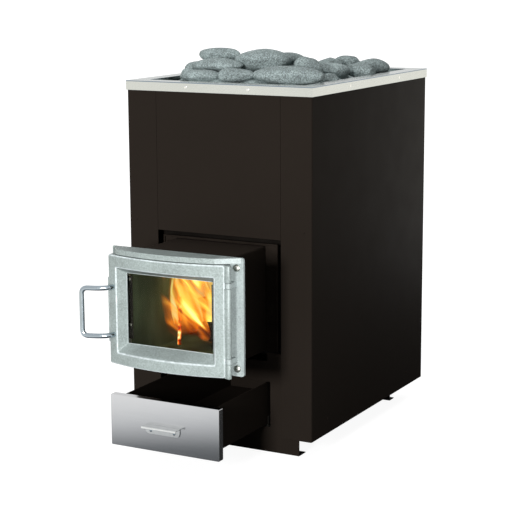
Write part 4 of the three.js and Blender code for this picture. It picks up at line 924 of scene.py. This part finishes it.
def bent_path(corners, bend, steps):
    """Path through corner points, evenly spaced, with each bend a quadratic curve that starts and ends
    the bend length away."""
    corners = np.asarray(corners, float)
    before = corners[:-2] - corners[1:-1]
    after = corners[2:] - corners[1:-1]
    near = np.minimum(bend, np.linalg.norm(before, axis=1) / 2)[:, None]
    far = np.minimum(bend, np.linalg.norm(after, axis=1) / 2)[:, None]
    start = corners[1:-1] + before / np.linalg.norm(before, axis=1, keepdims=True) * near
    end = corners[1:-1] + after / np.linalg.norm(after, axis=1, keepdims=True) * far
    t = np.linspace(0, 1, steps)[None, :, None]
    curves = (1 - t) ** 2 * start[:, None] + 2 * t * (1 - t) * corners[1:-1, None] + t ** 2 * end[:, None]
    rough = np.concatenate([corners[:1], curves.reshape(-1, 3), corners[-1:]])
    length = np.concatenate([[0], np.cumsum(np.linalg.norm(np.diff(rough, axis=0), axis=1))])
    even = np.linspace(0, length[-1], 180)
    return np.stack([np.interp(even, length, rough[:, k]) for k in range(3)], axis=-1)


class STOVE_OT_handle(bpy.types.Operator):
    """Bends the polished bar handle"""

    bl_idname = "stove.handle"
    bl_label = "Handle"

    def execute(self, context):
        radius = sizes().bar_diameter / 2
        low, high = HANDLE_LOW[2] + radius, HANDLE_HIGH[2] - radius
        foot = HANDLE_HIGH[0] - radius
        grip = HANDLE_LOW[0] + radius
        knee = grip + HANDLE_KNEE
        depth = [HANDLE_HIGH[1], bow(foot) - HANDLE_FOOT, bow(foot) - HANDLE_REACH, HANDLE_LOW[1] + radius]
        plan = [(foot, depth[0]), (foot, depth[1]), (knee, depth[2]), (grip, depth[3])]
        corners = [(x, y, high) for x, y in plan] + [(x, y, low) for x, y in reversed(plan)]
        path = bent_path(corners, HANDLE_BEND, 16)
        shell = tube(path, radius, 28, np.array([-0.6, 0.8, 0.0]))
        piece("door_handle_bar", shell, bar_steel(), DOOR, "bar_steel", ["door_handle"], sharp=60.0)
        return {"FINISHED"}


class STOVE_OT_throat(bpy.types.Operator):
    """Dresses the door frame, its screws and pins, the fire throat and the hidden boxes"""

    bl_idname = "stove.throat"
    bl_label = "Throat"

    def execute(self, context):
        softened("door_frame", end_highlight_silver(), ROOT, "cast_door", 0.0012, 3)
        wall = heated_wall((0.074, 0.118, 0.078))

        def inside(centres):
            x, y, z = centres.T
            level = (z > LINING_LOW) & (z < LINING_HIGH)
            return (np.abs(x) < LINING_HALF) & level & (y > THROAT_LOW[1] + LINING_START)

        softened("fire_throat", [paint(), wall], ROOT, "paint", 0.0008, 2, inside)
        for node in ("frame_screw_top", "frame_screw_bottom"):
            softened(node, frame_steel(), ROOT, "screw", 0.0003)
        for node in ("hinge_pin_bottom", "hinge_pin_top"):
            NODES[node].data.materials[0] = bar_steel()
        for node in ("ash_chamber", "runner_left", "runner_right", "smoke_box", "stone_box"):
            NODES[node].data.materials[0] = soot()
        NODES["firebox"].data.materials[0] = sooted_steel("firebox_soot", (0.0075, 0.0062, 0.0052), 0.9)
        softened("grate", sooted_steel("grate_iron", (0.03, 0.028, 0.026), 0.8), ROOT, "cast_iron", 0.001)
        return {"FINISHED"}


class STOVE_OT_drawer(bpy.types.Operator):
    """Dresses the ash drawer, its bright front and its bent pull"""

    bl_idname = "stove.drawer"
    bl_label = "Ash drawer"

    def execute(self, context):
        front = bright_sheet("drawer_sheet", (0.655, 0.662, 0.672), 0, 0.13, 0.19)
        softened("drawer_front", front, DRAWER, "bright_sheet", 0.0014, 4)
        softened("drawer_pull", pull_steel(), DRAWER, "bright_sheet", 0.0005, 3)
        softened("drawer_box", paint(), DRAWER, "paint", sizes().edge_softness)
        level = PULL_LOW[2] + PULL_RIVET_HEIGHT
        middle = (PULL_LOW[0] + PULL_HIGH[0]) / 2
        plate_front = PANEL_LOW[1] - PULL_PLATE
        rivets = []
        for side in (-1, 1):
            place = (middle + side * PULL_RIVET_SPREAD, plate_front, level)
            rivets.append(screw_head(place, (0, -1, 0), 0.0030))
        piece("pull_rivets", together(*rivets), bar_steel(), DRAWER, "screw")
        return {"FINISHED"}


def unit_directions(rows, columns):
    """Directions on a ball: rows from pole to pole, columns round the axis."""
    polar = np.linspace(0, np.pi, rows)[:, None]
    round_angle = np.linspace(0, 2 * np.pi, columns, endpoint=False)[None, :]
    return np.stack([np.sin(polar) * np.cos(round_angle), np.sin(polar) * np.sin(round_angle),
                     np.cos(polar) * np.ones_like(round_angle)], axis=-1)


def lumps(directions, random, count, low, high):
    """Sum of waves across a ball, each along its own random direction."""
    axes = random.normal(size=(count, 3))
    axes /= np.linalg.norm(axes, axis=1, keepdims=True)
    rate = random.uniform(low, high, count)
    phase = random.uniform(0, 2 * np.pi, count)
    return np.sin(directions @ axes.T * rate + phase).mean(axis=-1)


def stone_shell(node, random):
    """Stone over its node: the node's ball of directions, each with a radius blended from the node's own
    points near that direction, worn towards a few flat facets, plus low waves."""
    points = np.array([vertex.co for vertex in NODES[node].data.vertices], float)
    points = np.unique(points.round(7), axis=0)
    centre = (points.min(axis=0) + points.max(axis=0)) / 2
    _, _, axes = np.linalg.svd(points - points.mean(axis=0), full_matrices=False)
    local = (points - centre) @ axes.T
    reach = np.abs(local).max(axis=0)
    known = local / reach
    length = np.linalg.norm(known, axis=1)
    known /= length[:, None]
    grid = unit_directions(34, 52)
    weight = np.exp(26 * (grid @ known.T - 1))
    radius = (weight @ length) / weight.sum(axis=-1)
    facets = random.normal(size=(13, 3))
    facets /= np.linalg.norm(facets, axis=1, keepdims=True)
    reached = np.clip(grid @ facets.T, 0.0, None) / random.uniform(0.80, 0.97, 13)
    worn = (reached ** 16).sum(axis=-1) + 1.0
    radius = radius * worn ** (-1 / 16) * (1.005 + 0.030 * lumps(grid, random, 5, 2.0, 4.5)
                                           + 0.008 * lumps(grid, random, 7, 7.0, 12.0))
    shape = (grid * radius[..., None] * reach @ axes) * STONE_SPREAD + centre
    shape[..., :2] = np.clip(shape[..., :2], PIT_LOW, PIT_HIGH)
    return surface(shape, wrap_columns=True)


def bed_heap(random):
    """Heap under the loose stones: the highest of many flat domes over each point of a grid, with its edges
    carried down to the bottom of the bed."""
    step = 0.003
    xs = np.arange(BED_LOW[0] + 0.001, BED_HIGH[0] - 0.001, step)
    ys = np.arange(BED_LOW[1] + 0.001, BED_HIGH[1] - 0.001, step)
    x, y = np.meshgrid(xs, ys, indexing="ij")
    middle_y = (BED_LOW[1] + BED_HIGH[1]) / 2
    width, depth = 0.1818, 0.2568
    height = np.full(x.shape, BED_HIGH[2] - 0.050)
    places = [(-0.121 + 0.0807 * i, middle_y - 0.196 + 0.0784 * j, 0.046, 1.0)
              for i in range(4) for j in range(6)]
    places += [(random.uniform(-0.152, 0.152), middle_y + random.uniform(-0.227, 0.227), 0.027, 0.9)
               for _ in range(90)]
    for px, py, size, share in places:
        turn = random.uniform(0, np.pi)
        long = size * random.uniform(1.0, 1.15)
        wide = size * random.uniform(0.8, 1.0)
        a = ((x - px) * np.cos(turn) + (y - py) * np.sin(turn)) / long
        b = (-(x - px) * np.sin(turn) + (y - py) * np.cos(turn)) / wide
        dome = np.sqrt(np.clip(1 - a ** 2 - b ** 2, 0, 1))
        mound = 0.014 * np.cos(np.pi * px / (2 * width)) ** 2
        top = BED_HIGH[2] + 0.6 * mound - 0.0285 * (1 - share * dome)
        height = np.where(dome > 0, np.maximum(height, top), height)
    inside = (np.abs(x) < width) & (np.abs(y - middle_y) < depth)
    height = np.where(inside, height, BED_HIGH[2] - 0.052)
    points = np.stack([x, y, height], axis=-1)
    skirt = np.concatenate([points[0], points[1:, -1], points[-1, -2::-1], points[-2:0:-1, 0]])
    lower = skirt.copy()
    lower[:, 2] = BED_LOW[2] + 0.190
    sides = surface(np.array([skirt, lower]), wrap_columns=True)
    floor_middle = np.broadcast_to(lower.mean(axis=0), lower.shape)
    floor = surface(np.array([lower, floor_middle]), wrap_columns=True)
    return together(surface(points), sides, floor)


class STOVE_OT_stones(bpy.types.Operator):
    """Lays the rounded stones on their heap"""

    bl_idname = "stove.stones"
    bl_label = "Stones"

    def execute(self, context):
        skin = stone_skin(tuple(finishes().stone))
        random = np.random.default_rng(finishes().seed)
        for node in STONES:
            piece(f"{node}_skin", stone_shell(node, random), skin, ROOT, "stone", [node], sharp=180.0)
        piece("stone_bed_heap", bed_heap(random), skin, ROOT, "stone", ["stone_bed"], sharp=60.0)
        return {"FINISHED"}


def log_shell(start, end, radius, random):
    """Split log: a lumpy rounded triangle carried along a line, closed at both cut ends."""
    start, end = np.asarray(start, float), np.asarray(end, float)
    along = (end - start) / np.linalg.norm(end - start)
    across = np.cross(along, [0, 0, 1.0])
    across /= np.linalg.norm(across)
    third = np.cross(across, along)
    angle = np.linspace(0, 2 * np.pi, 40, endpoint=False)
    t = np.linspace(0, 1, 44)
    phase = random.uniform(0, 2 * np.pi, 3)
    outline = 1 + 0.12 * np.cos(3 * angle + phase[0]) + 0.04 * np.cos(7 * angle + phase[1])
    wander = 1 + 0.05 * np.sin(9 * t + phase[2])
    r = radius * outline[None, :] * wander[:, None]
    r = np.concatenate([0 * r[:1], 0.93 * r[:1], r, 0.93 * r[-1:], 0 * r[-1:]])
    t = np.concatenate([[0, 0], t, [1, 1]])
    circle = np.cos(angle)[:, None] * across + np.sin(angle)[:, None] * third
    points = start + t[:, None, None] * (end - start) + r[..., None] * circle[None]
    return surface(points, wrap_columns=True)


def flame_sheet(base, width, height, facing, lean, phase):
    """Sheet for a flame: a rectangle above a base line that sways back and forth as a wave in both
    directions, held between the walls of the throat and the firebox."""
    facing = math.radians(facing)
    right = np.array([math.cos(facing), math.sin(facing), 0])
    normal = np.array([-math.sin(facing), math.cos(facing), 0])
    u, v = np.meshgrid(np.linspace(0, 1, 25), np.linspace(0, 1, 31), indexing="ij")
    sway = 0.018 * np.sin(2 * np.pi * (1.1 * v + 0.8 * u) + phase)
    x = (u - 0.5) * width * (1 - 0.25 * v) + lean * v ** 1.3
    points = np.asarray(base) + x[..., None] * right + sway[..., None] * normal
    points[..., 2] += v * height
    mouth = points[..., 1] < FIREBOX_LOW[1] + FIREBOX_WALL
    half = np.where(mouth, THROAT_HALF, FIREBOX_HIGH[0] - FIREBOX_WALL)
    points[..., 0] = np.clip(points[..., 0], -half, half)
    return points, u, v


# Burning wood as start, end and radius, from the front of the firebox at the top of the grate, in metres
LOGS = (
    ((-0.014, -0.060, 0.024), (0.010, 0.21, 0.027), 0.020),
    ((-0.085, 0.01, 0.038), (-0.06, 0.29, 0.038), 0.032),
    ((-0.11, 0.16, 0.100), (0.10, 0.12, 0.102), 0.029),
)
STICK = ((-0.066, -0.080, -0.004), (-0.070, -0.066, 0.094), 0.0036)

# Each flame's sheet as base, width, height, facing, lean and phase, and its look as shift, strength,
# core and tilt
FLAMES = (
    (((-0.045, -0.067, 0.001), 0.135, 0.195, 32, -0.010, 0.0), (0.0, 1.6, (0.72, 0.40), 0.62)),
    (((-0.062, -0.020, 0.001), 0.150, 0.200, 30, -0.015, 1.3), (3.7, 1.0, (0.52, 0.50), 1.25)),
    (((-0.072, 0.075, 0.001), 0.160, 0.220, 32, 0.010, 2.6), (8.1, 0.75, (0.40, 0.40), 1.9)),
)


class STOVE_OT_fire(bpy.types.Operator):
    """Lays burning wood on the grate and sets flames over it"""

    bl_idname = "stove.fire"
    bl_label = "Fire"

    def execute(self, context):
        random = np.random.default_rng(finishes().seed + 1)
        corner = np.array([0.0, FIREBOX_LOW[1], GRATE_HIGH[2]])
        logs = [log_shell(corner + start, corner + end, radius, random) for start, end, radius in LOGS]
        piece("burning_wood", together(*logs), bark(), ROOT, "black_steel", sharp=60.0)
        start, end, radius = STICK
        stick = log_shell(corner + start, corner + end, radius, random)
        piece("glowing_stick", stick, ember(), ROOT, "black_steel", sharp=60.0)
        for k, (sheet, look) in enumerate(FLAMES):
            base, *form = sheet
            points, u, v = flame_sheet(corner + base, *form)
            name = f"flame_{k + 1}"
            look = flame(name, *look)
            thing = piece(name, surface(points), look, ROOT, "glass", sharp=180.0, open_edges=True)
            layer = thing.data.uv_layers.new(name="tongue")
            corners = np.empty(len(thing.data.loops), np.int32)
            thing.data.loops.foreach_get("vertex_index", corners)
            flat = np.stack([u.ravel(), v.ravel()], axis=-1)[corners]
            layer.data.foreach_set("uv", flat.ravel())
        return {"FINISHED"}


def studio_world():
    """Even soft light for the object; white wherever the camera, metal or glass look past the stove."""
    world = bpy.data.worlds.new("studio")
    world.use_nodes = True
    tree = world.node_tree
    tree.nodes.clear()
    path = tree.nodes.new("ShaderNodeLightPath")
    seen = tree.nodes.new("ShaderNodeMath")
    seen.operation = "MAXIMUM"
    tree.links.new(path.outputs["Is Camera Ray"], seen.inputs[0])
    tree.links.new(path.outputs["Is Transmission Ray"], seen.inputs[1])
    soft = tree.nodes.new("ShaderNodeBackground")
    soft.inputs["Color"].default_value = (0.96, 0.98, 1.0, 1)
    soft.inputs["Strength"].default_value = 0.11
    glossy = tree.nodes.new("ShaderNodeBackground")
    glossy.inputs["Color"].default_value = (0.8, 0.8, 0.8, 1)
    white = tree.nodes.new("ShaderNodeBackground")
    white.inputs["Color"].default_value = (1, 1, 1, 1)
    first = tree.nodes.new("ShaderNodeMixShader")
    tree.links.new(path.outputs["Is Glossy Ray"], first.inputs[0])
    tree.links.new(soft.outputs[0], first.inputs[1])
    tree.links.new(glossy.outputs[0], first.inputs[2])
    second = tree.nodes.new("ShaderNodeMixShader")
    tree.links.new(seen.outputs[0], second.inputs[0])
    tree.links.new(first.outputs[0], second.inputs[1])
    tree.links.new(white.outputs[0], second.inputs[2])
    output = tree.nodes.new("ShaderNodeOutputWorld")
    tree.links.new(second.outputs[0], output.inputs["Surface"])
    return world


def pale_floor():
    """Floor that is white to the camera and keeps a soft shadow of the stove; metal mirrors it dark near
    the stove and white further off."""
    finish = Finish("pale_floor")
    tree = finish.tree
    mottle = finish.noise(3.0, 2.0)
    finish.shade(Base_Color=finish.ramp(mottle, (0.3, (0.86, 0.86, 0.86)), (0.7, (0.88, 0.88, 0.88))),
                 Roughness=0.9, Specular_IOR_Level=0.0)
    path = tree.nodes.new("ShaderNodeLightPath")
    white = finish.node("ShaderNodeEmission", {"Strength": 1.2})
    off = finish.node("ShaderNodeVectorMath", {0: finish.coordinates}, operation="LENGTH").outputs["Value"]
    share = finish.math("MULTIPLY", path.outputs["Is Camera Ray"], finish.spread(off, 0.78, 1.0, 0.7, 1.8))
    seen = finish.node("ShaderNodeMixShader", {"Fac": share, 1: finish.shader.outputs[0],
                                               2: white.outputs[0]})
    away = finish.node("ShaderNodeVectorMath", {0: finish.coordinates, 1: (0.5, 0.5, 0.0)},
                       operation="DISTANCE")
    pool = finish.ramp(finish.spread(away.outputs["Value"], 0.0, 1.0, 0.0, 4.0), (0.24, (0.03, 0.03, 0.03)),
                       (0.305, (0.17, 0.18, 0.19)), (0.35, (0.68, 0.69, 0.70)), (0.39, (0.95, 0.95, 0.95)),
                       (0.43, (1.0, 1.0, 1.0)), (0.62, (0.95, 0.91, 0.83)))
    mirrored = finish.node("ShaderNodeEmission", {"Color": pool, "Strength": 1.1})
    quiet = finish.math("MULTIPLY", path.outputs["Is Diffuse Ray"], 0.75)
    nothing = finish.node("ShaderNodeEmission", {"Strength": 0.0})
    lit = finish.node("ShaderNodeMixShader", {"Fac": quiet, 1: seen.outputs[0], 2: nothing.outputs[0]})
    mix = finish.node("ShaderNodeMixShader", {"Fac": path.outputs["Is Glossy Ray"], 1: lit.outputs[0],
                                              2: mirrored.outputs[0]})
    tree.links.new(mix.outputs[0], tree.nodes["Material Output"].inputs["Surface"])
    return finish.material


def lamp(name, place, target, power, size, colour=(1, 1, 1), mirrored=False):
    """Square area lamp at a place, turned towards a target; metal mirrors it only where asked for."""
    light = bpy.data.lights.new(name, "AREA")
    light.energy = power
    light.size = size
    light.color = colour
    thing = bpy.data.objects.new(name, light)
    bpy.context.scene.collection.objects.link(thing)
    thing.visible_camera = False
    thing.visible_transmission = False
    thing.visible_glossy = mirrored
    aim(thing, place, target)
    return thing


def door_group():
    """Collection of the pieces that the fill lamp reaches: the door, its handle and the screws."""
    return bpy.data.collections.get("door_group") or bpy.data.collections.new("door_group")


def aim(thing, place, target, roll=0.0):
    """Stands a lamp or camera at a place, looking at a target."""
    place, target = np.asarray(place, float), np.asarray(target, float)
    back = (place - target) / np.linalg.norm(place - target)
    right = np.cross([0, 0, 1.0], back)
    right /= np.linalg.norm(right)
    up = np.cross(back, right)
    turned = [np.cos(roll) * right + np.sin(roll) * up, np.cos(roll) * up - np.sin(roll) * right, back]
    matrix = np.eye(4)
    matrix[:3, :3] = np.array(turned).T
    matrix[:3, 3] = place
    thing.matrix_world = Matrix(matrix.tolist())


class STOVE_OT_stage(bpy.types.Operator):
    """Sets the floor, the lamps, the world and the camera"""

    bl_idname = "stove.stage"
    bl_label = "Stage"

    def execute(self, context):
        scene = context.scene
        flat = [(x * FLOOR_REACH, y * FLOOR_REACH, 0.0) for y in (-1, 1) for x in (-1, 1)]
        mesh = bpy.data.meshes.new("floor")
        mesh.from_pydata(flat, [], [[0, 1, 3, 2]])
        mesh.materials.append(pale_floor())
        floor = bpy.data.objects.new("floor", mesh)
        scene.collection.objects.link(floor)
        scene.world = studio_world()
        middle = STAGE_MIDDLE
        bearing, rise = math.radians(KEY_BEARING), math.radians(KEY_RISE)
        key = np.array([math.sin(bearing) * math.cos(rise), -math.cos(bearing) * math.cos(rise),
                        math.sin(rise)])
        lamp("key", middle + KEY_DISTANCE * key, middle, 150, 0.7)
        lamp("top", middle + np.array([0.2, -0.3, 2.6]), middle, 34, 1.6)
        lamp("rear", middle + np.array([-1.7, 2.9, 1.2]), middle, 120, 1.4)
        fill = lamp("door_fill", middle + np.array([2.3, -3.1, 0.4]), middle, 180, 0.8, mirrored=True)
        fill.light_linking.receiver_collection = door_group()
        fire = np.array([0.0, FIREBOX_LOW[1] + 0.12, GRATE_HIGH[2] + 0.12])
        lamp("fire_glow", fire, fire + np.array([-0.1, -1, 0.05]), 0.9, 0.16, (1.0, 0.80, 0.50))
        camera = bpy.data.objects.new("camera", bpy.data.cameras.new("camera"))
        scene.collection.objects.link(camera)
        camera.data.sensor_width = SENSOR_WIDTH
        camera.data.lens = SENSOR_WIDTH * CAMERA_FOCUS / PICTURE_WIDTH
        yaw, pitch, roll = np.radians(CAMERA_TURN)
        ahead = np.array([-np.sin(yaw) * np.cos(pitch), np.cos(yaw) * np.cos(pitch), -np.sin(pitch)])
        aim(camera, CAMERA_PLACE, CAMERA_PLACE + ahead, roll)
        scene.camera = camera
        scene.view_settings.view_transform = "Standard"
        return {"FINISHED"}


OPERATORS = (STOVE_OT_stage, STOVE_OT_casing, STOVE_OT_rim, STOVE_OT_throat, STOVE_OT_door, STOVE_OT_handle,
             STOVE_OT_drawer, STOVE_OT_stones, STOVE_OT_fire)


class STOVE_PT_sidebar(bpy.types.Panel):
    """Lists the stove's sizes, finishes and pieces"""

    bl_idname = "STOVE_PT_sidebar"
    bl_label = "Sauna stove"
    bl_space_type = "VIEW_3D"
    bl_region_type = "UI"
    bl_category = "Stove"

    def draw(self, context):
        for group in (context.scene.stove_sizes, context.scene.stove_finishes):
            for name in group.__annotations__:
                self.layout.prop(group, name)
        for operator in OPERATORS:
            self.layout.operator(operator.bl_idname)


CLASSES = (StoveSizes, StoveFinishes, *OPERATORS, STOVE_PT_sidebar)


def register():
    for item in CLASSES:
        bpy.utils.register_class(item)
    bpy.types.Scene.stove_sizes = PointerProperty(type=StoveSizes)
    bpy.types.Scene.stove_finishes = PointerProperty(type=StoveFinishes)


def unregister():
    del bpy.types.Scene.stove_finishes
    del bpy.types.Scene.stove_sizes
    for item in reversed(CLASSES):
        bpy.utils.unregister_class(item)


def main():
    """Registers the add-on and makes every piece in order."""
    register()
    for operator in OPERATORS:
        group, name = operator.bl_idname.split(".")
        getattr(getattr(bpy.ops, group), name)()


if __name__ == "__main__":
    main()
